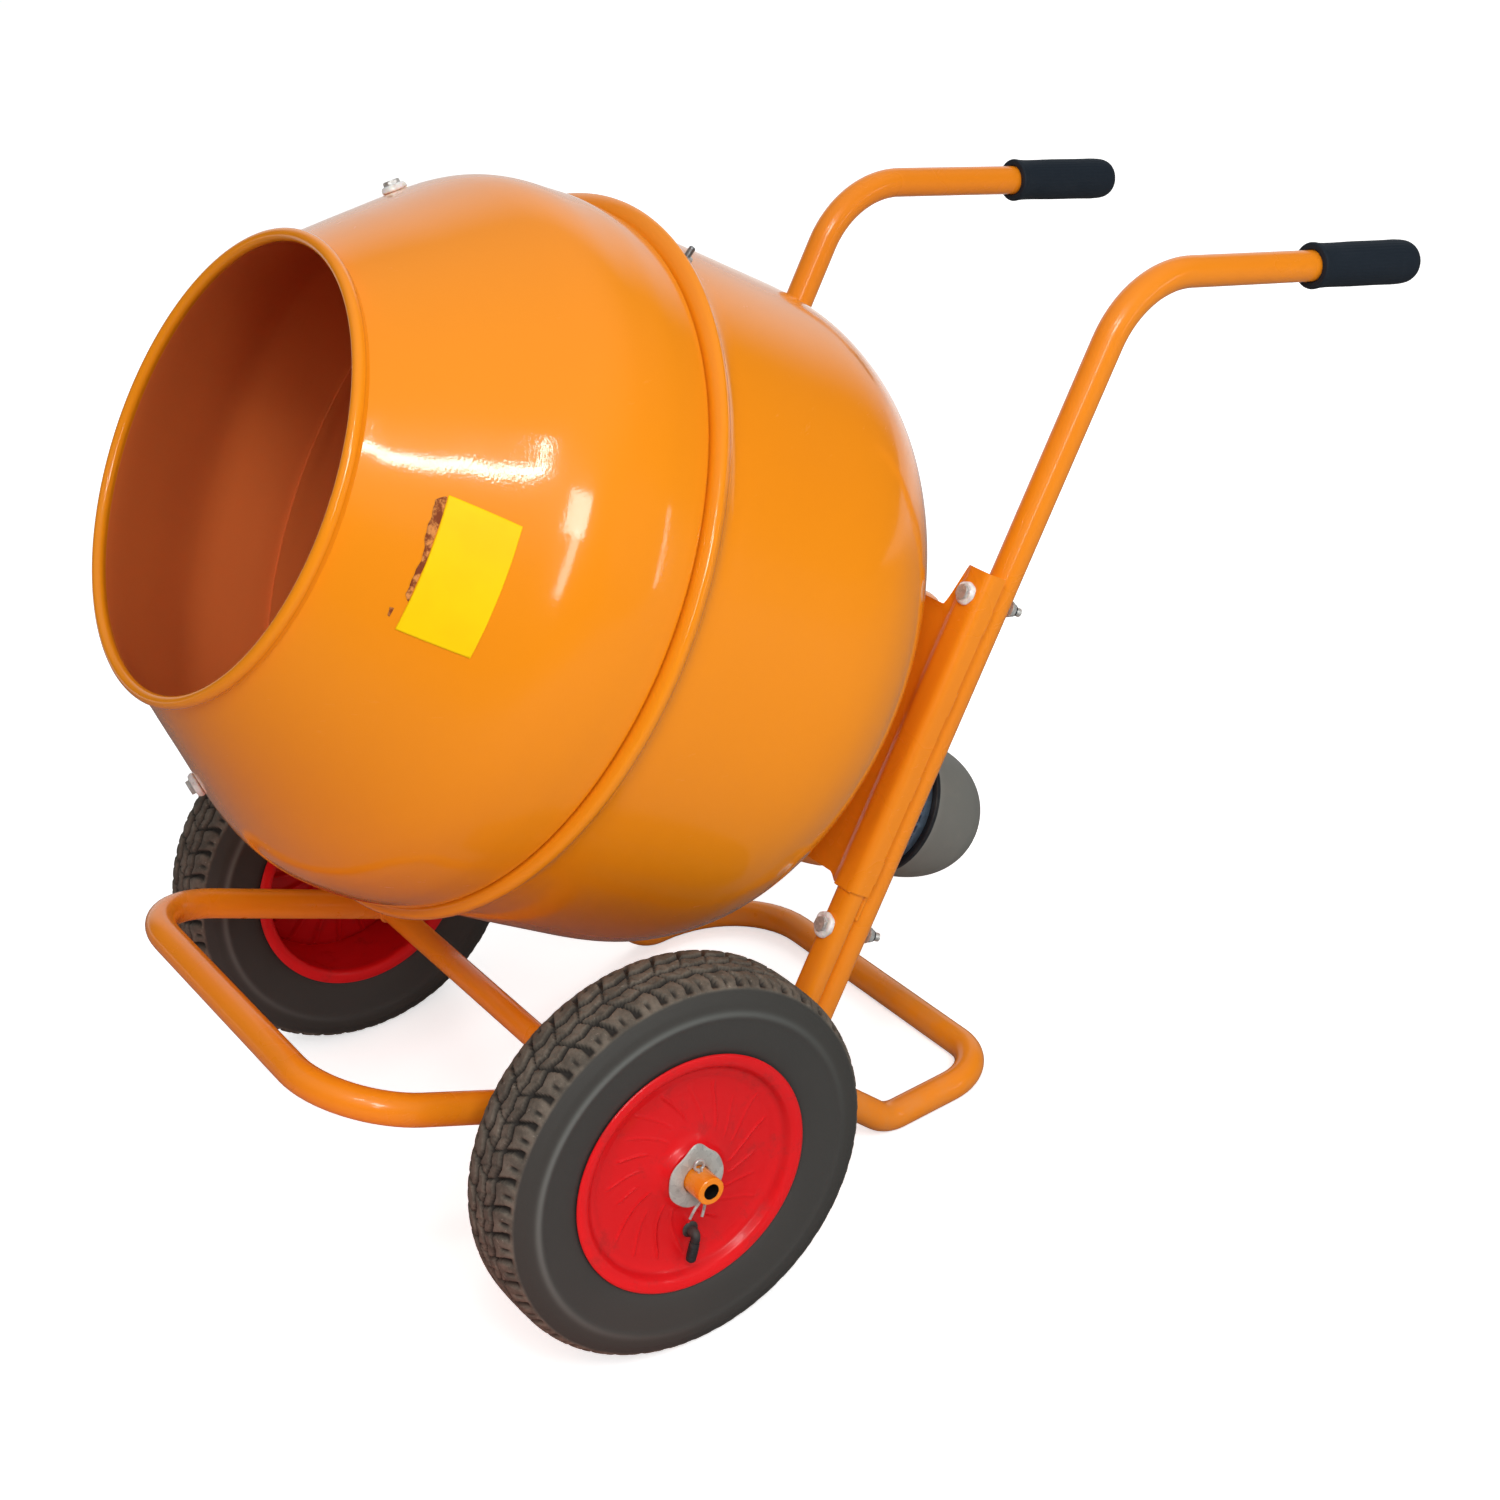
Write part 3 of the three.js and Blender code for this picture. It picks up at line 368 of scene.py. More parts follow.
MAT = {
    "drum": paint("drum_paint", srgb(240, 142, 20), srgb(234, 134, 18), rough=0.22, coat=0.8,
                  dust=0.0, wear=0.15, scuffs=0.3, spec=0.15),
    "drum_in": paint("drum_paint_inside", srgb(236, 124, 62), srgb(206, 104, 58), rough=0.42,
                     coat=0.15, dust=0.0, wear=0.2, scuffs=0.8, spec=0.2),
    "frame": paint("frame_paint", srgb(243, 142, 24), srgb(233, 122, 18), rough=0.27, coat=0.5,
                   dust=0.10, wear=0.5, scuffs=0.5),
    # a darker copy of the frame paint: painted shade for the drive channel, which lies in the drum's
    # shade
    "frame_painted_shade": paint("channel_paint_shaded", srgb(222, 104, 40), srgb(204, 88, 38), rough=0.34,
                        coat=0.3, dust=0.12, wear=0.4, scuffs=0.6),
    "zinc": metal("zinc_plate", srgb(208, 208, 204), rough=0.34, metalness=0.55),
    "galv": metal("galvanised", srgb(206, 208, 202), rough=0.40, spangle=30.0,
                  stain=srgb(112, 110, 100), stained=0.5, metalness=0.45),
    "dark_zinc": metal("dark_zinc", srgb(74, 92, 104), rough=0.32),
    "steel": metal("turned_steel", srgb(150, 152, 154), rough=0.26, stain=srgb(84, 74, 64)),
    "bore": metal("tube_bore", srgb(70, 66, 62), rough=0.5, stain=srgb(96, 60, 38), stained=0.6),
    "bronze": metal("bronze_bush", srgb(176, 126, 66), rough=0.35, stain=srgb(96, 70, 40)),
    "cast": cast_iron(),
    "blade": mortar_paint(),
    "grip": grip_rubber(),
    "tyre": tyre_rubber(),
    "valve": plastic("valve_rubber", srgb(34, 34, 36), rough=0.55, grain=600.0,
                     grain_depth=0.00012),
    "rim": rim_plastic(),
    "motor": metal("motor_shell", srgb(116, 138, 160), rough=0.36, spangle=24.0,
                   stain=srgb(70, 80, 92), stained=0.25, metalness=0.75),
    "gasket": plastic("gasket_rubber", srgb(24, 28, 34), rough=0.42, grain=500.0,
                      grain_depth=0.0001, dust=0.06),
    "cap": plastic("cap_plastic", srgb(118, 118, 112), rough=0.5, grain=700.0,
                   grain_depth=0.00018, dust=0.12),
    "black": plastic("switch_plastic", srgb(34, 36, 40), rough=0.46, grain=800.0,
                     grain_depth=0.00014, dust=0.10),
    "green": plastic("start_button_plastic", srgb(28, 140, 62), rough=0.30, grain=900.0,
                     grain_depth=0.00005, dust=0.05, coat=0.4),
    "red": plastic("stop_button_plastic", srgb(204, 28, 26), rough=0.30, grain=900.0,
                   grain_depth=0.00005, dust=0.05, coat=0.4),
    "white": plastic("button_mark", srgb(232, 232, 228), rough=0.4, grain=900.0,
                     grain_depth=0.00005, dust=0.04),
    "sticker": sticker_paper(),
    "nylon": nylon(),
}


# ------------------------------------------------------------------ lines, outlines and places
def ease(value, start, stop):
    """smooth step from 0 at start to 1 at stop"""
    part = np.clip((value - start) / (stop - start), 0, 1)
    return part * part * (3 - 2 * part)


def angles(count):
    return np.arange(count) / count * 2 * np.pi


def circle(radius, count):
    return radius * np.c_[np.cos(angles(count)), np.sin(angles(count))]


def unit(vector):
    return vector / np.linalg.norm(vector)


def mirror(side):
    return np.array([side, 1.0, 1.0])


def frame_at(origin, axis, up=(0.0, 0.0, 1.0)):
    """place(x, y, z) about a point, its z along the axis"""
    axis = unit(np.array(axis, float))
    x_dir = unit(np.cross(axis, up))
    y_dir = np.cross(axis, x_dir)
    origin = np.array(origin, float)
    outer = np.multiply.outer
    return lambda x, y, z: origin + outer(x, x_dir) + outer(y, y_dir) + outer(z, axis)


def shifted(place, dx, dy):
    return lambda x, y, z: place(x + dx, y + dy, z)


def fillet(points, radii, steps):
    """polyline with its inner corners rounded"""
    points = [np.array(point, float) for point in points]
    out = [points[0]]
    for before, at, after, radius in zip(points, points[1:], points[2:], radii):
        u_dir, v_dir = unit(before - at), unit(after - at)
        opening = math.acos(max(-1, min(1, float(u_dir @ v_dir))))
        setback = radius / math.tan(opening / 2)
        centre = at + unit(u_dir + v_dir) * radius / math.sin(opening / 2)
        first, last = at + u_dir * setback - centre, at + v_dir * setback - centre
        sweep = math.pi - opening
        for i in range(steps + 1):
            part = i / steps
            weights = math.sin((1 - part) * sweep), math.sin(part * sweep)
            out.append(centre + (weights[0] * first + weights[1] * last) / math.sin(sweep))
    out.append(points[-1])
    return np.array(out)


def densify(path, step):
    out = [path[0]]
    for start, stop in zip(path[:-1], path[1:]):
        count = max(1, int(math.ceil(np.linalg.norm(stop - start) / step)))
        out += [start + (stop - start) * (i / count) for i in range(1, count + 1)]
    return np.array(out)


def lengths_along(path):
    return np.r_[0, np.cumsum(np.linalg.norm(np.diff(path, axis=0), axis=1))]


def with_ghost_ends(points):
    points = np.array(points, float)
    return np.vstack([2 * points[0] - points[1], points, 2 * points[-1] - points[-2]])


def smooth_line(points, per):
    """centripetal Catmull-Rom through points, per steps to each stretch"""
    ghosted = with_ghost_ends(points)
    out = []
    for i in range(len(ghosted) - 3):
        four = ghosted[i:i + 4]
        knots = [0.0]
        for j in range(3):
            knots.append(knots[-1] + np.linalg.norm(four[j + 1] - four[j]) ** 0.5)
        for at in np.linspace(knots[1], knots[2], per, endpoint=False):
            def blend(first, second, k0, k1):
                start, stop = knots[k0], knots[k1]
                return ((stop - at) / (stop - start) * first
                        + (at - start) / (stop - start) * second)

            pairs = [blend(four[k], four[k + 1], k, k + 1) for k in range(3)]
            triples = [blend(pairs[k], pairs[k + 1], k, k + 2) for k in range(2)]
            out.append(blend(triples[0], triples[1], 1, 2))
    out.append(ghosted[-2])
    return np.array(out)


def smooth_wire(points, per):
    """uniform Catmull-Rom through points"""
    ghosted = with_ghost_ends(points)
    out = []
    for i in range(len(ghosted) - 3):
        p0, p1, p2, p3 = ghosted[i:i + 4]
        for t in np.linspace(0, 1, per, endpoint=False):
            out.append(0.5 * (2 * p1 + (p2 - p0) * t + (2 * p0 - 5 * p1 + 4 * p2 - p3) * t * t
                              + (3 * p1 - p0 - 3 * p2 + p3) * t ** 3))
    out.append(ghosted[-2])
    return np.array(out)


def round_profile(corners, radius):
    """closed outline with every corner rounded a little"""
    steps = 3
    corners = [np.array(corner, float) for corner in corners]
    out = []
    for i, corner in enumerate(corners):
        before, after = corners[i - 1] - corner, corners[(i + 1) % len(corners)] - corner
        near, far = np.linalg.norm(before), np.linalg.norm(after)
        cut = min(radius, near * 0.45, far * 0.45)
        start, stop = corner + before / near * cut, corner + after / far * cut
        for j in range(steps + 1):
            part = j / steps
            out.append((1 - part) ** 2 * start + 2 * part * (1 - part) * corner
                       + part * part * stop)
    return out


def rounded_rect(x0, x1, y0, y1, radius, steps):
    corners = ((x1 - radius, y1 - radius, 0), (x0 + radius, y1 - radius, 90),
               (x0 + radius, y0 + radius, 180), (x1 - radius, y0 + radius, 270))
    out = []
    for x, y, start in corners:
        for i in range(steps + 1):
            angle = math.radians(start + 90 * i / steps)
            out.append((x + radius * math.cos(angle), y + radius * math.sin(angle)))
    return np.array(out)


def super_ring(half_x, half_along):
    """squarish oval of 48 or more points round the leg, as (x, along)"""
    def ring(count):
        angle = (np.arange(count) + 0.5) / count * 2 * np.pi
        cos, sin = np.cos(angle), np.sin(angle)
        return np.c_[LEG_X + half_x * np.sign(cos) * np.abs(cos) ** 0.75,
                     LEG_ALONG + half_along * np.sign(sin) * np.abs(sin) ** 0.75]

    return ring


def directions_of(path, closed=False):
    """tangents, normals and binormals of a path, parallel transported"""
    if closed:
        tangents = np.roll(path, -1, 0) - np.roll(path, 1, 0)
    else:
        steps = np.diff(path, axis=0)
        steps /= np.linalg.norm(steps, axis=1)[:, None]
        ends = path[1] - path[0], path[-1] - path[-2]
        tangents = np.vstack([ends[0], steps[:-1] + steps[1:], ends[1]])
    tangents /= np.linalg.norm(tangents, axis=1)[:, None]
    upright = np.array([0, 0, 1.0]) if abs(tangents[0][2]) < 0.9 else np.array([1.0, 0, 0])
    normals = [unit(np.cross(tangents[0], upright))]
    for tangent in tangents[1:]:
        normals.append(unit(normals[-1] - tangent * (normals[-1] @ tangent)))
    normals = np.array(normals)
    return tangents, normals, np.cross(tangents, normals)


def rings_about(path, radius, normals, binormals, sides):
    ring = circle(1.0, sides)
    radius = np.broadcast_to(np.asarray(radius, float), (len(path),))[:, None, None]
    spokes = ring[None, :, 0, None] * normals[:, None] + ring[None, :, 1, None] * binormals[:, None]
    return path[:, None] + radius * spokes


def swept(path, radius, sides):
    """rings of a round tube; the radius may change along it"""
    _, normals, binormals = directions_of(path)
    return rings_about(path, radius, normals, binormals, sides)


def stacked(place, sides, stations):
    """rings at stations (radius, height); a radius may vary round its ring"""
    cos, sin = np.cos(angles(sides)), np.sin(angles(sides))
    return np.array([place(radius * cos, radius * sin, z) for radius, z in stations])


def hexagon_radius(flat, sides):
    """radius round a hexagon that lies flat from its centre to each face"""
    return flat / np.cos((angles(sides) + math.pi / 6) % (math.pi / 3) - math.pi / 6)


# ------------------------------------------------------------------ pieces
class Piece:
    """collects closed shells and makes them one mesh object"""

    def __init__(self):
        self.points, self.faces, self.mats, self.layers, self.count = [], [], [], {}, 0

    def add(self, points, faces, mat, layers):
        """adds a closed shell, turned to face outwards"""
        centred = points - points.mean(0)
        volume = 0.0
        for size in {len(face) for face in faces}:
            corners = centred[np.array([face for face in faces if len(face) == size])]
            for k in range(1, size - 1):
                cross = np.cross(corners[:, k], corners[:, k + 1])
                volume += np.einsum("ij,ij->", corners[:, 0], cross)
        order = -1 if volume < 0 else 1
        self.faces += [[i + self.count for i in face[::order]] for face in faces]
        self.mats += mat if isinstance(mat, list) else [mat] * len(faces)
        for key, values in layers.items():
            self.layers.setdefault(key, []).append((self.count, np.asarray(values).ravel()))
        self.points.append(points)
        self.count += len(points)

    def shell(self, rings, loop=False, mat=0, **layers):
        """closed rings joined in a row; a loop joins the last to the first, else the ends are capped"""
        rings = np.asarray(rings, float)
        count, size = rings.shape[:2]
        faces = []
        for i in range(count if loop else count - 1):
            row, following = i * size, (i + 1) % count * size
            for j in range(size):
                beside = (j + 1) % size
                faces.append([row + j, following + j, following + beside, row + beside])
        if not loop:
            faces.append(list(range(size)))
            faces.append(list(range((count - 1) * size, count * size))[::-1])
        self.add(rings.reshape(-1, 3), faces, mat, layers)
        return self

    def turned(self, profile, sides, place, mat=0, warp=None):
        """a profile of (radius, height) turned about z; mat may list a material for each strip"""
        radius, height = np.array(profile, float).T
        angle = angles(sides)[:, None]
        if radius[0] < 1e-6 and radius[-1] < 1e-6:
            radius = radius[1:-1]
            size = len(radius)
            body = place(np.cos(angle) * radius, np.sin(angle) * radius, height[1:-1])
            points = np.vstack([body.reshape(-1, 3), place(0.0, 0.0, height[0]),
                                place(0.0, 0.0, height[-1])])
            starts = [(i * size, (i + 1) % sides * size) for i in range(sides)]
            faces = [[a + j, b + j, b + j + 1, a + j + 1] for a, b in starts for j in range(size - 1)]
            pole = sides * size
            for a, b in starts:
                faces.append([pole, b, a])
                faces.append([pole + 1, a + size - 1, b + size - 1])
            self.add(points, faces, mat, {})
            return self
        if warp:
            radius, height = warp(angle, radius, height)
        if isinstance(mat, list):
            mat = mat * sides
        rings = place(np.cos(angle) * radius, np.sin(angle) * radius, height)
        return self.shell(rings, loop=True, mat=mat)

    def bead(self, path, radius, seed, closed=True):
        """a weld bead with fish-scale ripples"""
        pitch, spacing = 4.2, 0.9
        random = np.random.RandomState(abs(seed) + 11)
        path = np.asarray(path, float)
        if closed:
            path = np.vstack([path, path[:1]])
        lengths = lengths_along(path)
        total = lengths[-1]
        count = max(24, int(total / spacing))
        at = np.linspace(0, total, count, endpoint=not closed)
        path = np.array([np.interp(at, lengths, path[:, k]) for k in range(3)]).T
        swell = random.randn(9) * (0.8 if closed else 1)
        ripple = (1 + 0.16 * np.abs(np.sin(at / pitch * np.pi))
                  + 0.08 * np.interp(at, np.linspace(0, total, 9), swell))
        tangents, normals, binormals = directions_of(path, closed)
        if closed:  # spread the closing twist
            first, last = normals[0], normals[-1]
            twist = math.atan2(float(np.cross(last, first) @ tangents[0]), float(last @ first))
            angle = np.linspace(0, twist, len(path))[:, None]
            cos, sin = np.cos(angle), np.sin(angle)
            normals, binormals = normals * cos + binormals * sin, -normals * sin + binormals * cos
        self.shell(rings_about(path, radius * ripple, normals, binormals, 10), loop=closed)

    def hex_head(self, place, radius, start, stop, mat=0):
        """hexagon head with its corners turned off, from height start to its crown at stop"""
        flat = radius * math.cos(math.pi / 6)
        full = hexagon_radius(flat, 48)
        stations = ((flat * 0.98, 0.0), (np.minimum(full, flat * 1.10), 0.06), (full, 0.14),
                    (full, 0.74), (np.minimum(full, flat * 1.07), 0.88),
                    (np.minimum(full, flat * 0.99), 0.97), (flat * 0.90, 1.0),
                    (flat * 0.55, 0.985), (flat * 0.2, 0.975))
        stations = [(reach, start + part * (stop - start)) for reach, part in stations]
        self.shell(stacked(place, 48, stations), mat=mat)

    def thread_rod(self, place, radius, start, stop, mat=0):
        """a threaded end: rings of alternating radius"""
        pitch = 1.25
        heights = np.linspace(start, stop, max(4, int(abs(stop - start) / pitch * 2)) + 1)
        stations = [(radius * 0.80, heights[0])]
        stations += [(radius * (0.88 if i % 2 else 1.0), z) for i, z in enumerate(heights[1:-1])]
        stations.append((radius * 0.78, heights[-1]))
        self.shell(stacked(place, 24, stations), mat=mat)

    def slab(self, x0, x1, rise0, rise1, back, front, radius, mat=0, edge=1.2):
        """rounded block in the head frame, its rear edge rounder than its front one"""
        stations = ((edge, back), (edge * 0.3, back + edge * 0.3), (0.0, back + edge),
                    (0.0, front - edge * 0.5), (edge * 0.5, front))
        rings = []
        for inset, along in stations:
            ring = rounded_rect(x0 + inset, x1 - inset, rise0 + inset, rise1 - inset,
                                max(radius - inset, 0.3), 6)
            rings.append(head(ring[:, 0], ring[:, 1], along))
        self.shell(rings, mat=mat)

    def make(self, part, look, mats, slot, body="frame", sharp=38):
        """makes the object; with a look word it stands in for the CAD part of that name"""
        name = f"{part}_{look}" if look else part
        points = np.concatenate(self.points) * 0.001 - np.array([0.0, ORIGIN_Y, 0.0])
        mesh = bpy.data.meshes.new(name)
        mesh.from_pydata(points.tolist(), [], self.faces)
        mesh.validate(verbose=False)
        for key in mats:
            mesh.materials.append(MAT[key])
        # validate may drop faces, and then the list of materials no longer fits
        if len(mesh.polygons) == len(self.mats):
            mesh.polygons.foreach_set("material_index", np.array(self.mats, np.int32))
        mesh.polygons.foreach_set("use_smooth", np.ones(len(mesh.polygons), bool))
        for key, parts in self.layers.items():
            values = np.zeros(len(points), np.float32)
            for start, part_values in parts:
                values[start:start + len(part_values)] = part_values
            mesh.attributes.new(key, "FLOAT", "POINT").data.foreach_set("value", values)
        mesh.update()
        if sharp:
            mesh.set_sharp_from_angle(angle=math.radians(sharp))
        obj = bpy.data.objects.new(name, mesh)
        scene.collection.objects.link(obj)
        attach(obj, body)
        if look:
            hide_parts(part)


SIDES = (("right", 1), ("left", -1))


# ================================================================== frame hoops and axle
def rail_point(y, z):
    return np.array([RAIL_X, y, z])


rail_slope = (RAIL_TOP[1] - RAIL_FRONT[1]) / (RAIL_TOP[0] - RAIL_FRONT[0])
split = rail_point(SPLIT_Y, RAIL_FRONT[1] + (SPLIT_Y - RAIL_FRONT[0]) * rail_slope)
split_gap = 0.15  # half the gap between the hoops' ends
rail_dir = unit(rail_point(*RAIL_TOP) - rail_point(*RAIL_FRONT))
# across the rail's rear slope, in (y, z)
slope_dir = unit(np.subtract(RAIL_REAR, RAIL_TOP))
slope_normal = np.array([-slope_dir[1], slope_dir[0]])


def hoop(part, half, other_half, welds):
    """tube bent from two half paths, the other one mirrored to -x"""
    left = other_half[:-1][::-1] * mirror(-1)
    rings = swept(densify(np.vstack([half, left]), 12.0), TUBE_R, 36)
    rings[..., 2] = np.maximum(rings[..., 2], 0.05)  # flattened on the ground
    piece = Piece().shell(rings)
    for weld in welds:
        weld(piece)
    piece.make(part, "tube", ["frame"], "orange_paint", sharp=50)


def split_welds(piece):
    ring = circle(TUBE_R, 60)
    for side in (1, -1):
        place = frame_at(split * mirror(side), rail_dir)
        piece.bead(place(ring[:, 0], ring[:, 1], 0.0), 1.7, seed=3 + side)


def axle_welds(piece):
    """beads on both flanks of each rail, where the axle passes through"""
    ring = circle(12.2, 60)
    reach = np.sqrt(TUBE_R ** 2 - (ring @ np.array([-rail_dir[2], rail_dir[1]])) ** 2)
    for side in (1, -1):
        for flank in (1, -1):
            x = side * (RAIL_X + flank * reach)
            piece.bead(np.c_[x, ring[:, 0], WHEEL_R + ring[:, 1]], 1.8, seed=8 + side + flank)


def saddle_weld(piece, side, outline, seed):
    """bead where an upright outline of (x, along) lands on the rail's rear slope"""
    x, along = outline.T
    off_centre = np.clip(x, RAIL_X - 13.9, RAIL_X + 13.9) - RAIL_X
    reach = np.sqrt((TUBE_R + 0.05) ** 2 - off_centre ** 2)
    below = head(x, 0.0, along)[:, 1:] - np.array(RAIL_TOP)
    rise = (reach - below @ slope_normal) / (RISE[1:] @ slope_normal)
    piece.bead(head(x, rise + 0.3, along) * mirror(side), 1.9, seed)


def leg_welds(piece):
    for side in (1, -1):
        saddle_weld(piece, side, super_ring(13.0, 10.0)(48), seed=20 + side)
        handle_ring = circle(13.8, 48) + (RAIL_X, HANDLE_ALONG)
        saddle_weld(piece, side, handle_ring, seed=24 + side)


front_half = fillet([split - rail_dir * split_gap, rail_point(*RAIL_FRONT), rail_point(*TOE),
                     (0, *TOE)], [100, TOE_BEND], 16)
hoop("front_hoop", front_half, front_half, (split_welds, axle_welds))
rear_halves = [fillet([split + rail_dir * split_gap, rail_point(*RAIL_TOP), rail_point(*RAIL_REAR),
                       rail_point(*HEEL), (0, *HEEL)], [60, 36, bend], 14) for bend in HEEL_BENDS]
hoop("rear_hoop", *rear_halves, (leg_welds,))


def axle():
    outer_r, bore_r, half = 12.0, 7.0, 368.0
    outside = [(bore_r, -half), (11.2, -half), (outer_r, -half + 0.8)]
    outside += [(outer_r, z) for z in np.linspace(-355, 355, 48)]
    outside += [(outer_r, half - 0.8), (11.2, half)]
    bore = [(bore_r, half)] + [(bore_r, z) for z in np.linspace(355, -355, 12)]
    place = frame_at((0, 0, WHEEL_R), (1, 0, 0))
    piece = Piece().turned(outside + bore, 48, place, mat=[0] * len(outside) + [1] * len(bore))
    piece.make("axle_tube", "painted", ["frame", "bore"], "orange_paint")


axle()

# ================================================================== wheels
LUGS, STEPS_PER_LUG = 44, 16
LUG_PITCH = 24.5
LUG_END = 37.6  # distance from the crown, along the section, at which the shoulder lugs die out

# outer line of the tyre's section from the crown to the bead: (off the middle, radius)
TYRE_LINE = [
    (0, 172.0), (8, 172.0), (16, 171.8), (23, 171.2), (28, 169.8), (32, 167.7), (35.2, 165.3),
    (37.4, 162.7), (38.9, 159.9), (40.1, 156.4), (41.1, 152.6), (41.9, 149.0), (42.45, 146.2),
    (42.7, 144.2), (42.6, 142.6), (42.1, 140.9), (41.6, 138.6), (41.1, 134.0), (40.5, 128.0),
    (39.4, 120), (37.9, 114), (36.3, 110.4), (35.2, 109.2), (34.6, 106.5), (33.9, 104.0),
    (33.2, 101.9)]
# inner line, from the bead to near the middle: (off the middle, radius)
TYRE_INSIDE = [(27.4, 101.9), (27.6, 106), (28.5, 110.5), (32, 119), (34.6, 130), (35.2, 141),
               (33.5, 153), (28, 160), (20, 163), (8, 163.6)]


def tyre_section():
    """outer line resampled, finely over the tread: arc lengths, offsets and radii"""
    line = smooth_line(TYRE_LINE, 5)
    lengths = lengths_along(line)
    arc = np.r_[np.arange(0, 44.0, 0.95), np.arange(44.8, 68.0, 0.8),
                np.linspace(68.8, lengths[-1], 16)]
    return arc, np.interp(arc, lengths, line[:, 0]), np.interp(arc, lengths, line[:, 1])


def tread_depth(arc, side, turn):
    """groove depth at a distance from the crown and a turn counted in lugs"""
    across = arc * side

    def cut(distance, half, deep):
        return deep * (1 - ease(np.abs(distance), half - 0.9, half + 0.9))

    def off_lug(shift):
        """distance round the tyre from the nearest cut of a row"""
        return ((turn + shift) % 1.0 - 0.5) * LUG_PITCH

    def zigzag(value):
        return 2 * np.abs((value % 1.0) - 0.5) * 2 - 1

    lean = 0.12 * np.sin(np.clip((arc - 13.0) / 25.0, 0, 1) * math.pi) + 0.010 * (arc - 13.0)
    wide = 1.7 + 2.2 * ease(arc, 20.0, 37.0)
    fade = 1 - ease(arc, 29.5, LUG_END + 0.8)
    cuts = (
        # middle zigzag, then the shoulder zigzags
        cut(across - 1.4 * zigzag(turn), 2.1, 4.4),
        cut(np.abs(across) - 13.5 - 1.9 * zigzag(turn + 0.25 * side), 2.5, 5.4),
        # slanted cuts through the middle blocks
        cut(off_lug(0.022 * arc), 1.1, 3.2) * (arc < 13.0),
        cut(off_lug(0.5 + 0.02 * across), 0.8, 1.6) * (arc < 11.0),
        # leaning cuts between the shoulder lugs, widening outwards
        5.0 * (1 - ease(np.abs(off_lug(0.25 + lean)), wide - 0.8, wide + 0.8)) * (arc > 13.0) * fade,
        # a short sipe in each shoulder lug
        3.0 * (1 - ease(np.abs(off_lug(0.75 + lean * 0.8)), 0.7, 2.2)) * ease(arc, 23.0, 27.0) * fade,
        # the lugs stand above the plain shoulder band
        0.9 * ease(arc, LUG_END - 1.0, LUG_END + 1.2) * (1 - ease(arc, 42.0, 49.5)),
    )
    depth = np.zeros(np.broadcast(across, turn).shape)
    for one in cuts:
        depth = np.maximum(depth, one)
    return depth


def tyre_half(half):
    """positions and material masks of one half of the tread and wall"""
    turn = (np.arange(LUGS * STEPS_PER_LUG) / STEPS_PER_LUG)[:, None]
    arc, offset, radius = tyre_section()
    depth = tread_depth(arc[None, :], half, turn)
    slope_w, slope_r = np.gradient(offset), np.gradient(radius)
    length = np.hypot(slope_w, slope_r)
    lug = (1 - ease(arc, LUG_END - 1.5, LUG_END + 1.5)) * np.ones_like(depth)
    # the ridge's painted highlight is strongest over one stretch of the wheel, where the light falls
    ridge_lit_side = (0.5 + 0.5 * np.sin(turn / LUGS * 2 * np.pi + 2.4)) ** 1.4
    return {
        "offset": (offset + depth * slope_r / length) * half,
        "radius": radius - depth * slope_w / length,
        "lug": lug,
        # painted shade in the grooves
        "groove": ease(depth, 1.0, 3.4) * lug * 0.9,
        # painted highlight along the sidewall ridge
        "ridge_highlight": np.exp(-((radius - 145.4) / 2.8) ** 2) * (offset > 38) * 0.62 * ridge_lit_side,
        "band": (1 - lug) * ease(radius, 142.0, 152.0),
    }


def tyre(name, side):
    plus, minus = tyre_half(1), tyre_half(-1)
    inside = np.array(TYRE_INSIDE + [(-offset, radius) for offset, radius in TYRE_INSIDE[::-1]])

    def joined(key, inner):
        around = np.broadcast_to(inner, (len(plus[key]), len(inside)))
        return np.concatenate([minus[key][:, ::-1], plus[key][:, 1:], around], axis=1)

    offset, radius = joined("offset", inside[:, 0]), joined("radius", inside[:, 1])
    angle = angles(LUGS * STEPS_PER_LUG)[:, None]
    place = frame_at((side * WHEEL_X, 0, WHEEL_R), (1, 0, 0))
    masks = {key: joined(key, 0.0) for key in ("lug", "groove", "ridge_highlight", "band")}
    piece = Piece()
    piece.shell(place(np.cos(angle) * radius, np.sin(angle) * radius, offset), loop=True, **masks)
    piece.make(f"tyre_{name}", "treaded", ["tyre"], "tyre_rubber", f"wheel_{name}", sharp=0)


# rim outline, (radius, height outwards): outer face from the flange in to the hub
RIM_FACE = [
    (108.0, 37.2), (106.6, 38.2), (103.0, 38.3), (99.5, 37.4), (97.0, 35.8), (95.2, 33.4),
    (93.4, 31.0), (91.0, 29.4), (88.5, 28.4), (86, 27.4), (83.5, 26.4), (80, 25.6), (72, 24.6),
    (64, 24.8), (56, 25.6), (48, 27.2), (40, 29.6), (34, 32.0), (30, 34.6), (27.4, 37.6),
    (25.8, 39.4), (24.2, 40.0), (20, 40.0), (17.7, 39.6)]
# then the bore's inner end, the back of the web, the inner flange and the well
RIM_BACK = np.array([
    (17.7, -35.6), (20, -36), (24, -36), (25.6, -34), (26.6, -20), (28, 8), (31, 17.4), (38, 19.6),
    (60, 21.0), (86, 22.6), (92, 24.4), (95.4, 28.4), (96.4, 20.0), (96.4, -20), (96.2, -28),
    (95.0, -34.5), (96.6, -37.4), (100.5, -38.2), (106.6, -38.2), (108.0, -37.2), (108, -36.4),
    (104.4, -34.6), (100.4, -33.4), (99.8, -27.0), (98.9, -14.0), (98.9, 14.0), (99.8, 27.0),
    (100.4, 33.4), (104.4, 34.6), (108.0, 36.4)])
RIBS = 20


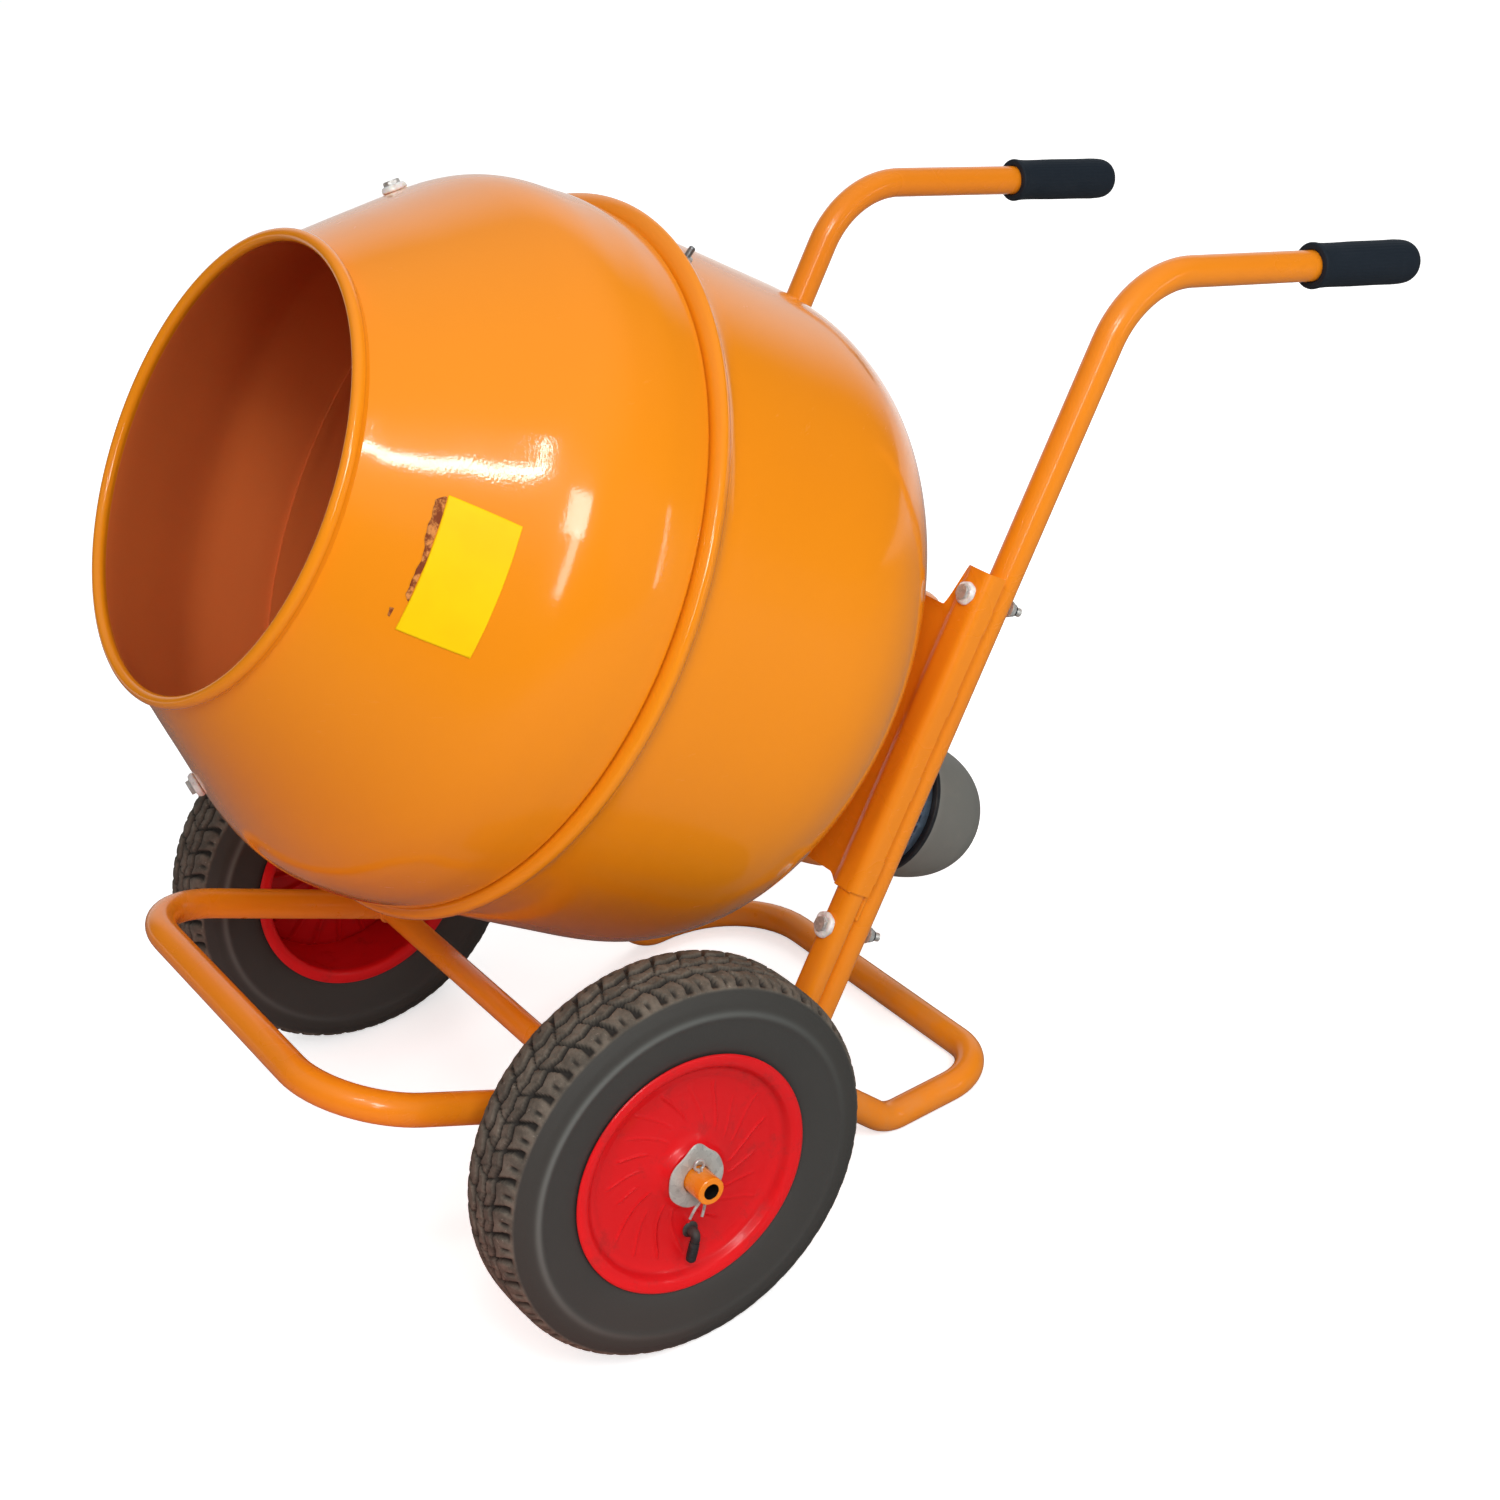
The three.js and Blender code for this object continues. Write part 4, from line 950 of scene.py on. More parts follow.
def wheel_place(side):
    """place about the wheel's middle, z outwards"""
    return frame_at((side * WHEEL_X, 0, WHEEL_R), (side, 0, 0))


def rim(name, side):
    """moulded rim: smooth outer flange, a stepped ring and fine ribs that swirl out from the hub"""
    front_r, front_z = smooth_line(RIM_FACE, 4).T
    back_r, back_z = RIM_BACK.T
    angle = angles(720)[:, None]

    # swirling ribs on the face, each with its own start, stop and strength
    swirl = 0.55 * (1 - np.clip((front_r - 30) / 55, 0, 1)) ** 1.5
    turn = ((angle + swirl) / (2 * np.pi)) % 1.0
    which = np.minimum((turn * RIBS).astype(int), RIBS - 1)
    random = np.random.RandomState(5 + side)
    start = (30 + 16 * random.rand(RIBS))[which]
    stop = (60 + 24 * random.rand(RIBS))[which]
    strength = (0.25 + 0.75 * random.rand(RIBS))[which]
    zone = ease(front_r, 29, 36) * (1 - ease(front_r, 82, 86))
    off_rib = ((turn * RIBS) % 1.0 - 0.5) * (2 * np.pi * front_r / RIBS)
    rib = (1 - ease(np.abs(off_rib), 0.5, 1.9)) * zone * strength
    rib = rib * ease(front_r, start, start + 6) * (1 - ease(front_r, stop, stop + 5))

    # straight ribs on the back of the web
    back_zone = ease(back_r, 30, 36) * (1 - ease(back_r, 90, 93)) * (back_z > 10)
    back_turn = (angle / (2 * np.pi) * RIBS) % 1.0
    off_back_rib = (back_turn - 0.5) * (2 * np.pi * back_r / RIBS)
    back_rib = (1 - ease(np.abs(off_back_rib), 1.0, 2.4)) * back_zone

    z = np.hstack([front_z + 2.0 * rib, back_z - 5.0 * back_rib])
    # painted shade, stored on the mesh: the web between the ribs, a ring at the flange's step, and the
    # back inside the well
    web = np.clip(1 - 2 * rib, 0, 1) * ease(front_r, 30, 40) * (1 - ease(front_r, 84, 92))
    face_hollow = web * 0.22 + np.exp(-((front_r - 93.5) / 2.4) ** 2) * 0.4
    hollow = np.hstack([face_hollow, np.broadcast_to(0.6 * (back_r < 95), back_rib.shape)])
    radius = np.r_[front_r, back_r]
    rings = wheel_place(side)(np.cos(angle) * radius, np.sin(angle) * radius, z)
    piece = Piece().shell(rings, loop=True, hollow=hollow)
    piece.make(f"wheel_rim_{name}", "ribbed", ["rim"], "red_rim", f"wheel_{name}", sharp=50)


def hub_bush(name, side):
    profile = round_profile([(12.6, -36), (17.2, -36), (17.2, 40), (12.6, 40)], 0.6)
    piece = Piece().turned(profile, 56, wheel_place(side))
    piece.make(f"hub_bush_{name}", "turned", ["bronze"], "bronze", f"wheel_{name}")


def valve_stem(name, side):
    """rubber stem with a ribbed cap, bent in towards the hub's underside"""
    def on_wheel(points):
        """points of (across the wheel, outwards, up)"""
        return np.stack([side * (WHEEL_X + points[..., 1]), -side * points[..., 0],
                         WHEEL_R + points[..., 2]], -1)

    foot = [(0, 25.4), (7.0, 25.6), (7.4, 26.5), (6.6, 27.7), (5.0, 28.5), (0, 28.6)]
    piece = Piece()
    piece.turned(foot, 28, lambda x, y, z: on_wheel(np.stack([x + 4.0, z + 0 * x, y - 60.0], -1)))
    bend = np.array((4.0, 36.0, -60.0))
    tip = bend + np.array([0.38, 0.0, -0.925]) * 25
    path = densify(fillet([(4.0, 27.0, -60.0), bend, tip], [5.0], 10), 0.55)
    length = lengths_along(path)
    radius = np.interp(length, [0, 6, 13, 14.0, 14.6, 23.5, 29.5, 31, 31.6],
                       [4.9, 4.4, 3.9, 3.3, 4.5, 4.6, 4.3, 3.6, 2.2])
    on_cap = (length > 15) & (length < 28)
    radius = radius - np.where(on_cap, 0.32 * (np.sin(length * 4.6) > 0), 0)
    piece.shell(on_wheel(swept(path, radius, 24)))
    piece.make(f"valve_stem_{name}", "capped", ["valve"], "valve_rubber", f"wheel_{name}")


def hub_washer(name, side):
    """galvanised washer, a little dished and beaten, with one lobe"""
    profile = smooth_line([(12.5, 41.2), (12.6, 43.4), (14.5, 44.2), (19, 44.0), (23, 43.5),
                           (25.6, 42.9), (26.0, 42.2), (25.4, 41.4), (22, 41.0), (16, 40.8)], 3)

    def beaten(angle, radius, z):
        dent = 0.5 * np.sin(3 * angle + 0.7) + 0.3 * np.sin(5 * angle + 2.1)
        lobe = np.exp(-((np.mod(angle + 1.75 + np.pi, 2 * np.pi) - np.pi) / 0.33) ** 2)
        grow = (1 + 0.012 * np.sin(2 * angle + 1.0) + 0.01 * np.sin(7 * angle)
                + 0.26 * lobe * ease(radius, 16, 24))
        return np.where(radius > 14, radius * grow, radius), z + np.where(radius > 15, dent * 0.5, 0)

    piece = Piece().turned(profile, 96, wheel_place(side), warp=beaten)
    piece.make(f"hub_washer_{name}", "plated", ["galv"], "zinc_steel")


def split_pin(name, side):
    """an eye above the axle, two legs through it, their tails bent forward"""
    x, eye_r, leg_y = side * 354.0, 4.4, 1.28
    eye = [(x, -eye_r * math.sin(a), WHEEL_R + 18.6 - eye_r * math.cos(a))
           for a in np.linspace(0.35, 2 * math.pi - 0.35, 22)]
    # offsets from the leg's lower end: (outwards, y, z)
    tails = {-1: [(0, 0, 0), (0.6, -3.6, -3.6), (1.0, -9.5, -8.0), (1.0, -15.0, -14.5)],
             1: [(0, 0, 0), (0.4, -0.8, -4.5), (0.8, -3.0, -11.0), (1.6, -6.6, -17.5)]}
    legs = {}
    for leg, tail in tails.items():
        low = np.array([x, leg * leg_y, WHEEL_R - 12.4])
        legs[leg] = [(x, leg * leg_y, WHEEL_R + 12.6)] + [low + mirror(side) * step for step in tail]
    wire = smooth_wire(legs[-1][::-1] + eye + legs[1], 5)
    piece = Piece().shell(swept(densify(wire, 1.2), 1.25, 12))
    piece.make(f"split_pin_{name}", "wire", ["zinc"], "zinc_steel", sharp=60)


for wheel_side in SIDES:
    for build in (tyre, rim, hub_bush, valve_stem, hub_washer, split_pin):
        build(*wheel_side)

# ================================================================== legs, handles, grips
GRIP_FALL = math.radians(13.4)
GRIP_DIR = np.array([0, math.cos(GRIP_FALL), -math.sin(GRIP_FALL)])
HANDLE_CORNER = head(RAIL_X, 427.0, HANDLE_ALONG)
# leg bolts: name, rise, along of the face the cap sits on, cap radius
LEG_BOLTS = (("upper", 124.0, -333.2, 10.4), ("lower", -189.0, LEG_ALONG + 10.0, 11.8))


def leg(name, side):
    """flattened leg tube, open at its ends, with short runs of weld to the handle"""
    bottom, top = -309, 146
    outer, inner = super_ring(13.0, 10.0)(56), super_ring(10.8, 7.8)(56)
    end = super_ring(12.6, 9.6)(56)
    levels = np.linspace(bottom, top, 24)
    stations = [(end, bottom), (outer, bottom + 0.5)] + [(outer, z) for z in levels[1:-1]]
    stations += [(outer, top - 0.6), (end, top)]
    stations += [(inner, top - 0.2), (inner, 100.0), (inner, bottom + 2)]
    rings = np.array([head(ring[:, 0], rise, ring[:, 1]) for ring, rise in stations])
    piece = Piece().shell(rings * mirror(side), loop=True)
    for k, ends in enumerate(((-296, -262), (-176, -150), (96, 120), (-30, -8))):
        for x, along in ((RAIL_X + 11.2, -356.8), (RAIL_X - 8.0, -356.2)):
            path = head(side * x, np.linspace(*ends, 20), along)
            piece.bead(path, 2.1, seed=40 + k, closed=False)
    piece.make(f"leg_tube_{name}", "flattened", ["frame"], "orange_paint", sharp=45)


def handle(name, side):
    path = fillet([head(RAIL_X, -331.0, HANDLE_ALONG), HANDLE_CORNER,
                   HANDLE_CORNER + GRIP_DIR * 330], [92], 22)
    piece = Piece().shell(swept(densify(path, 16.0), TUBE_R, 36) * mirror(side))
    piece.make(f"handle_tube_{name}", "bent", ["frame"], "orange_paint", sharp=50)


def grip(name, side):
    """soft sleeve with a rolled collar and a domed end"""
    outside = smooth_line(
        [(14.4, 1.6), (14.8, 0.2), (17.6, 0.0), (19.9, 0.4), (20.7, 1.6), (20.8, 3.6), (20.4, 6.2),
         (19.9, 11), (19.7, 30), (19.9, 60), (20.2, 90), (20.2, 108), (19.9, 115), (18.8, 121.0),
         (16.2, 125.6), (12, 128.2), (6, 129.0), (0.001, 129.1)], 4)
    inside = [(0.001, 124.0), (12.5, 124.0), (14.4, 122.0), (14.4, 60.0), (14.4, 12.0)]

    def fluted(angle, radius, z):
        """faint lengthwise flutes and a soft line rubbed by hands"""
        zone = ease(z, 14, 20) * (1 - ease(z, 104, 112)) * (radius > 16)
        wave = 0.16 * np.cos(36 * angle) + 0.22 * np.sin(z / 11.0) * np.cos(angle * 2 + 1)
        return radius + zone * wave, z

    place = frame_at((HANDLE_CORNER + GRIP_DIR * 207) * mirror(side), GRIP_DIR)
    piece = Piece().turned(np.vstack([outside, inside]), 144, place, warp=fluted)
    piece.make(f"handle_grip_{name}", "sleeve", ["grip"], "grip_rubber", sharp=0)


def leg_bolt(name, side, where, rise, face, cap_r):
    """long bolt on a dented nylon cap, and its locking nut behind the handle"""
    place = frame_at(head(side * (LEG_X - 2), rise, 0.0), ALONG)
    cap = smooth_line([(0.001, face + 0.15), (cap_r - 1.2, face + 0.15), (cap_r, face + 1.0),
                       (cap_r - 0.1, face + 2.6), (cap_r - 0.9, face + 4.3),
                       (cap_r - 2.2, face + 5.2), (7.2, face + 5.0), (0.001, face + 4.8)], 3)

    def dented(angle, radius, z):
        grow = 1 + 0.035 * np.sin(3 * angle + 1.2 + radius * 0.2) + 0.02 * np.sin(7 * angle)
        dent = 0.35 * np.sin(5 * angle + radius * 0.5)
        return radius * grow, z + dent * (radius > 6) * (z > 1.0 + face)

    piece = Piece().turned(cap, 64, place, mat=1, warp=dented)
    piece.hex_head(place, 7.4, face + 4.2, face + 7.9)
    piece.thread_rod(place, 4.0, -374.0, -399.5)
    piece.make(f"leg_bolt_{where}_{name}", "hex", ["zinc", "nylon"], "zinc_steel", sharp=30)

    piece = Piece()
    piece.hex_head(place, 7.4, -384.0, -389.6)
    collar = [(0.01, -389.4), (5.7, -389.4), (5.7, -391.8), (0.01, -391.8)]
    piece.turned(round_profile(collar, 0.5), 30, place, mat=1)
    washer = [(0.01, -383.2), (8.2, -383.2), (8.2, -384.2), (0.01, -384.2)]
    piece.turned(round_profile(washer, 0.3), 40, place)
    piece.make(f"leg_nut_{where}_{name}", "locking", ["zinc", "dark_zinc"], "zinc_steel", sharp=30)


for side_name, side_sign in SIDES:
    leg(side_name, side_sign)
    handle(side_name, side_sign)
    grip(side_name, side_sign)
    for bolt in LEG_BOLTS:
        leg_bolt(side_name, side_sign, *bolt)

# ================================================================== drive channel
# half of the pressed sheet seen from above, wrapping round the leg at its end: (x, along)
CHANNEL_LINE = [
    (0, -338.5), (60, -338.5), (120, -338.5), (160, -338.5), (180, -338.5), (187, -338.5),
    (192, -338.2), (196, -337.4), (199.5, -336.0), (202.5, -334.7), (206, -334.0), (212, -333.85),
    (219, -333.9), (222.6, -334.4), (225.4, -335.9), (227.3, -338.3), (228.2, -341.2),
    (228.4, -345), (228.4, -349), (228.4, -352.6)]


def drive_channel():
    half_sheet = 0.75
    half = smooth_line(CHANNEL_LINE, 4)
    line = np.vstack([(half * (-1, 1))[1:][::-1], half])
    slope = np.gradient(line, axis=0)
    slope /= np.linalg.norm(slope, axis=1)[:, None]
    x, along = line[:, :1], line[:, 1:]
    normal_x, normal_along = -slope[:, 1:], slope[:, :1]
    flank = ease(np.abs(x), 186.0, 199.0)
    top = 107.0 + 40.0 * flank
    bottom = -147.0 - 5.0 * flank
    rise = bottom + (top - bottom) * np.linspace(0, 1, 60)
    # the web's upper edge is curled forward a little, and the web is not quite flat
    curl = (1 - flank) * 2.2 * ease(rise, 100.0, 107.5)
    wave = 0.35 * np.sin(x / 37.0) * np.sin(rise / 43.0) * (1 - flank)
    front, back = [head(x + normal_x * off, rise, along + normal_along * off + curl + wave)
                   for off in (half_sheet, -half_sheet)]
    piece = Piece().shell(np.concatenate([front, back[:, ::-1]], axis=1))
    # short welds down the wrapped edge, and one under the wrap
    for side in (1, -1):
        for start in (-140, -60, 20, 96):
            path = head(side * 227.6, np.linspace(start, start + 22, 14), -353.4)
            piece.bead(path, 1.3, seed=60 + start, closed=False)
        path = head(side * np.linspace(202, 224, 16), -152.3, -334.4)
        piece.bead(path, 1.0, seed=77, closed=False)
    # the second paint is the darker copy of the frame paint, painted shade
    piece.make("drive_channel", "pressed", ["frame", "frame_painted_shade"], "orange_paint", sharp=40)


drive_channel()

# ================================================================== rear cover, bearings
# (along, inset from the flange's edge): outside from the flange to the back panel, then inside
COVER_STATIONS = (
    (-339.8, 0), (-341.2, 0.0), (-342.0, 0.2), (-342.6, 4.6), (-344.0, 6.2), (-360, 6.6),
    (-400, 7.2), (-410, 7.6), (-415.0, 8.9), (-418.4, 11.4), (-420.4, 15.0), (COVER_BACK, 19.0),
    (COVER_BACK, 60.0), (COVER_BACK, 86.0),
    (-419.2, 86.0), (-419.2, 60.0), (-419.2, 20.0), (-416.6, 13.0), (-408.0, 9.6), (-344.0, 8.2),
    (-341.0, 4.0), (-339.8, 2.0))
# flange screws: (x, rise)
COVER_SCREWS = ((112.6, 60), (112.6, -32), (112.6, -124), (-112.6, 60), (-112.6, -32),
                (-112.6, -124), (50, 106.8), (-50, 106.8), (60, -170.8), (-60, -170.8))


def rear_cover():
    def ring(along, inset):
        outline = rounded_rect(-118 + inset, 118 - inset, -176 + inset, 112 - inset,
                               max(30 - inset * 0.6, 6.0), 10)
        return head(outline[:, 0], outline[:, 1], along)

    piece = Piece().shell([ring(*station) for station in COVER_STATIONS], loop=True)
    # plate over the middle of the back panel
    piece.shell([ring(along, 84) for along in (-419.3, -420.2, -420.9)])
    screw = [(0, 0.0), (3.6, 0.0), (4.0, 0.4), (3.7, 1.6), (2.6, 2.4), (0, 2.7)]
    for x, rise in COVER_SCREWS:
        piece.turned(screw, 20, frame_at(head(x, rise, -342.0), -ALONG), mat=1)
    # four motor screws on the back panel
    for degrees in (45, 135, 225, 315):
        angle = math.radians(degrees)
        x, rise = 76 * math.cos(angle), MOTOR_RISE + 76 * math.sin(angle)
        place = frame_at(head(x, rise, COVER_BACK - 0.2), -ALONG)
        piece.hex_head(place, 6.4, 0.0, 4.6, mat=1)
    piece.make("rear_cover", "pressed", ["frame", "zinc"], "orange_paint")


rear_cover()

HOUSING = [(23.2, -384), (31, -384), (31, -341), (40, -341), (40, -339.9), (31, -339.9), (31, -329),
           (23.2, -329), (23.2, -336), (21, -336), (21, -377), (23.2, -377)]
piece = Piece().turned(round_profile(HOUSING, 0.5), 72, head)
piece.make("bearing_housing", "cast", ["cast"], "cast_iron")
for which, back, front in (("front", -335.6, -329.4), ("rear", -383.6, -377.4)):
    # two races with the seal set back 0.8 between them
    bearing = [(12.9, back), (16.0, back), (16.4, back + 0.8), (19.4, back + 0.8), (19.8, back),
               (22.6, back), (22.6, front), (19.8, front), (19.4, front - 0.8),
               (16.4, front - 0.8), (16.0, front), (12.9, front)]
    piece = Piece().turned(round_profile(bearing, 0.3), 64, head)
    piece.make(f"shaft_bearing_{which}", "sealed", ["steel"], "bright_steel")

# ================================================================== motor
on_motor = shifted(head, 0, MOTOR_RISE)
# motor shell: (radius, along), before, over and after the finned stretch
MOTOR_FRONT = [(18.0, -421.5), (44, -421.5), (59.0, -421.6), (60.0, -422.6), (60.2, -438),
               (61.5, -441.5), (64.5, -444.5), (65.8, -448), (66.0, -452.0), (66.0, -455.5)]
MOTOR_FINNED = [(65.6, -456.5), (65.8, -470), (65.8, -500), (65.8, -528), (65.6, -532.5)]
MOTOR_REAR = [(66.0, -533.5), (66.0, -541.8), (65.2, -542.8), (60, -543), (20, -543), (0.5, -543),
              (0.5, -440.5), (17.6, -440.5)]


def motor_body():
    sides, fins, fin_depth = 324, 36, 5.2
    # 1 on a fin, 0 between
    fin = ease(np.abs(((angles(sides) / (2 * np.pi) * fins) % 1.0) - 0.5), 0.20, 0.34)
    finned = [(radius - fin_depth * (1 - fin), along) for radius, along in MOTOR_FINNED]
    piece = Piece().shell(stacked(on_motor, sides, MOTOR_FRONT + finned + MOTOR_REAR), loop=True)
    # through bolts of the end ring
    for degrees in (20, 110, 200, 290):
        angle = math.radians(degrees)
        centre = head(63.0 * math.cos(angle), MOTOR_RISE + 63.0 * math.sin(angle), -533.0)
        piece.hex_head(frame_at(centre, ALONG), 3.4, 0.0, 4.2, mat=1)
    piece.make("motor_body", "finned", ["motor", "zinc"], "motor_paint", sharp=40)


def motor_gasket():
    profile = [(50, -543.3), (69.4, -543.3), (71.0, -544.2), (71.0, -548.2), (69.8, -549.0),
               (50, -549.0)]
    piece = Piece().turned(round_profile(profile, 0.7), 128, on_motor)
    piece.make("motor_gasket_ring", "moulded", ["gasket"], "gasket_rubber")


def motor_end_cap():
    """a squarish dome, 3 mm thick"""
    rim_along, radius, depth, wall = -549.3, 70.0, 97.7, 3.0
    arc = [(radius * math.cos(a) ** 0.8, rim_along - depth * math.sin(a) ** 0.8)
           for a in np.linspace(0.02, math.pi / 2 - 0.01, 40)]
    outside = [(69.2, rim_along)] + arc[1:] + [(0.001, rim_along - depth)]
    inside = [(max(r - wall, 0.001), along + wall if along < -560 else along)
              for r, along in arc[::-1]]
    profile = outside + [(0.001, -643.6)] + inside[1:-1] + [(66.4, rim_along)]
    piece = Piece().turned(profile, 128, on_motor)
    piece.make("motor_end_cap", "domed", ["cap"], "cap_plastic", sharp=40)


motor_body()
motor_gasket()
motor_end_cap()

# ================================================================== switch box, buttons, inlet
BOX_ALONG, BOX_RISE = COVER_BACK - 0.3, 40.0
# walls round the two button wells: (x from, x to, rise from, rise to, back, corner radius),
# rise taken from the box's middle and back from its front face
BOX_WALLS = ((-36.6, 36.6, -30.6, -17.1, -34, 4), (-36.6, 36.6, 17.1, 30.6, -34, 4),
             (-36.6, -28.9, -18, 18, -33.8, 2), (28.9, 36.6, -18, 18, -33.8, 2),
             (-5.3, 5.3, -18, 18, -33.8, 1.5))


def switch_box():
    piece = Piece()
    piece.slab(-38, 38, BOX_RISE - 32, BOX_RISE + 32, BOX_ALONG - 24, BOX_ALONG, radius=6)
    for x0, x1, low, high, back, radius in BOX_WALLS:
        piece.slab(x0, x1, BOX_RISE + low, BOX_RISE + high, BOX_ALONG + back, BOX_ALONG - 23.4, radius)
    screw = [(0, -0.6), (2.6, -0.6), (3.0, 0.1), (2.6, 1.0), (1.4, 1.4), (0, 1.5)]
    for x in (-31, 31):
        for rise in (-26, 26):
            place = frame_at(head(x, BOX_RISE + rise, BOX_ALONG - 33.8), -ALONG)
            piece.turned(screw, 20, place, mat=1)
    piece.make("switch_box", "moulded", ["black", "zinc"], "black_plastic", sharp=35)


def switch_button(name, x, colour):
    """button with a raised pad, marked with a bar (start) or a ring (stop)"""
    piece = Piece()

    def block(half_x, half_rise, back, front, **options):
        piece.slab(x - half_x, x + half_x, BOX_RISE - half_rise, BOX_RISE + half_rise,
                   BOX_ALONG + back, BOX_ALONG + front, **options)

    block(11, 16, -37, -28, radius=2.5)
    block(9, 13, -38.6, -36.6, radius=3.0, edge=0.8)
    mark_back, mark_front = -39.0, -38.2
    if name == "start":
        block(0.9, 5, mark_back, mark_front, radius=0.8, mat=1, edge=0.2)
    else:
        back, front = BOX_ALONG + mark_back, BOX_ALONG + mark_front
        ring = round_profile([(3.6, back), (5.2, back), (5.2, front), (3.6, front)], 0.2)
        piece.turned(ring, 40, shifted(head, x, BOX_RISE), mat=1)
    piece.make(f"switch_button_{name}", "cap", [colour, "white"], f"{colour}_plastic",
               f"{name}_button", sharp=35)


def plug_inlet():
    """socket under the box, opening downwards, with three pins"""
    place = frame_at(head(0, BOX_RISE - 32.3, BOX_ALONG - 18), -RISE, up=ALONG)
    sleeve = [(15.0, 0.0), (18.0, 0.0), (18.0, 3.0), (16.9, 4.0), (16.9, 22.0), (18.0, 23.0),
              (18.0, 26.0), (15.2, 26.0), (15.0, 8.0)]
    piece = Piece().turned(round_profile(sleeve, 0.5), 64, place)
    piece.turned([(0, 6.0), (15.1, 6.0), (15.1, 9.5), (0, 9.5)], 48, place)
    for degrees in (90, 210, 330):
        angle = math.radians(degrees)
        at_pin = shifted(place, 7.0 * math.cos(angle), 7.0 * math.sin(angle))
        pin = [(0, 9.0), (2.2, 9.0), (2.2, 20.0), (1.6, 21.4), (0, 21.9)]
        piece.turned(pin, 18, at_pin, mat=1)
    piece.make("plug_inlet", "moulded", ["black", "steel"], "black_plastic", sharp=35)


switch_box()
switch_button("start", -17, "green")
switch_button("stop", 17, "red")
plug_inlet()

# ================================================================== drum
DRUM_SIDES = 240
# drum sheets: (radius, along). Front shell from its skirt to the mouth
FRONT_OUTSIDE = smooth_line(
    [(301.6, 12.6), (303.2, 12.8), (304.5, 13.9), (305.2, 15.8), (305.6, 19.4), (305.8, 27.0),
     (305.9, 36), (305.7, 50), (304.0, 66), (299.6, 88), (292.4, 106), (282.6, 122), (271.6, 137),
     (257.5, 155), (242.5, 174), (227, 194), (210.5, 215), (197, 232.5), (189.4, 243.0)], 7)
# back down its inside
FRONT_INSIDE = smooth_line(
    [(184.6, 246.5), (190.6, 237.6), (209.0, 213.6), (225.4, 192.8), (240.9, 172.8),
     (255.8, 153.8), (269.9, 135.8), (280.9, 120.9), (290.6, 105.1), (297.7, 87.3), (302.1, 65.6),
     (303.7, 50), (303.9, 36), (303.9, 27), (303.6, 20.5), (302.9, 17.4), (301.8, 15.8)], 5)
FRONT_SKIRT = [(300.7, 15.0), (300.5, 13.6)]
LIP_CENTRE, LIP_R = (187.9, 251.4), 5.3
# rear bowl from its seam flange to the shaft hole
BOWL_OUTSIDE = smooth_line(
    [(299.8, 20.0), (299.9, 12.0), (300.8, 10.9), (303.5, 10.9), (306.5, 10.6), (309.5, 9.6),
     (311.8, 8.0), (312.9, 5.8), (313.0, 3.6), (312.2, 1.2), (310.2, -1.4), (307.4, -4.2),
     (304.4, -7.4), (302.2, -11), (300.9, -16), (300.4, -24), (300.4, -34), (300.4, -70),
     (300.4, -120), (300.3, -165), (299.2, -185), (296.4, -204), (291.0, -222), (283.0, -240),
     (272.0, -256), (258.0, -270.5), (240.0, -283.5), (218.0, -294.5), (194.0, -303.0),
     (168.0, -309.0), (140.0, -312.6), (112.0, -314.0), (70, -314.0), (22, -314.0)], 5)
BOWL_INSIDE = smooth_line(
    [(21.4, -312.2), (70, -312.0), (112, -312.0), (139, -310.6), (167, -307.0), (193, -301.0),
     (217, -292.6), (238.8, -281.8), (256.5, -269.0), (270.4, -254.7), (281.2, -239.0),
     (289.1, -221.4), (294.4, -203.6), (297.2, -184.8), (298.3, -165), (298.4, -120),
     (298.4, -34), (298.3, 0), (298.2, 19.6)], 4)


def waviness(angle, along):
    """slow hand-rolled waviness of the pressed sheet"""
    return (0.22 * np.sin(3 * angle + along / 90.0) + 0.16 * np.sin(5 * angle - along / 55.0 + 1.3)
            + 0.12 * np.sin(8 * angle + along / 38.0 + 0.4)
            + 0.10 * np.sin(2 * angle + along / 24.0 + 2.2))


def drum_warp(angle, radius, along):
    """waviness, and the sheet in front of the seam drawn in round the drum's upper side"""
    from_top = np.mod(angle - math.radians(105) + np.pi, 2 * np.pi) - np.pi
    draw = 6.0 * np.clip(np.cos(from_top * 0.85), 0, 1) ** 2
    draw = draw * ease(along, 3, 13) * (1 - ease(along, 60, 126))
    return radius + waviness(angle, along) * ease(radius, 200, 250) - draw, along


def drum_sheet(part, look, outside, inside):
    mats = [0] * len(outside) + [1] * len(inside)
    profile = np.vstack([outside, inside])
    piece = Piece().turned(profile, DRUM_SIDES, head, mat=mats, warp=drum_warp)
    piece.make(part, look, ["drum", "drum_in"], "orange_paint", "drum", sharp=50)


lip = [(LIP_CENTRE[0] + LIP_R * math.cos(a), LIP_CENTRE[1] + LIP_R * math.sin(a))
       for a in np.linspace(-0.95, math.pi + 0.72, 22)]
drum_sheet("drum_front_shell", "spun", np.vstack([FRONT_SKIRT, FRONT_OUTSIDE, lip]), FRONT_INSIDE)
drum_sheet("drum_rear_bowl", "pressed", BOWL_OUTSIDE, BOWL_INSIDE)


def hub_flange():
    profile = [(13.2, -320), (60, -320), (62, -318), (62, -314.4), (13.2, -314.4)]
    piece = Piece().turned(round_profile(profile, 0.6), 96, head)
    for k in range(6):
        angle = k * math.pi / 3
        centre = head(46 * math.cos(angle), 46 * math.sin(angle), -320.0)
        piece.hex_head(frame_at(centre, -ALONG), 6.0, 0.0, 3.8, mat=1)
    piece.make("drum_hub_flange", "cast", ["cast", "zinc"], "cast_iron", "drum")


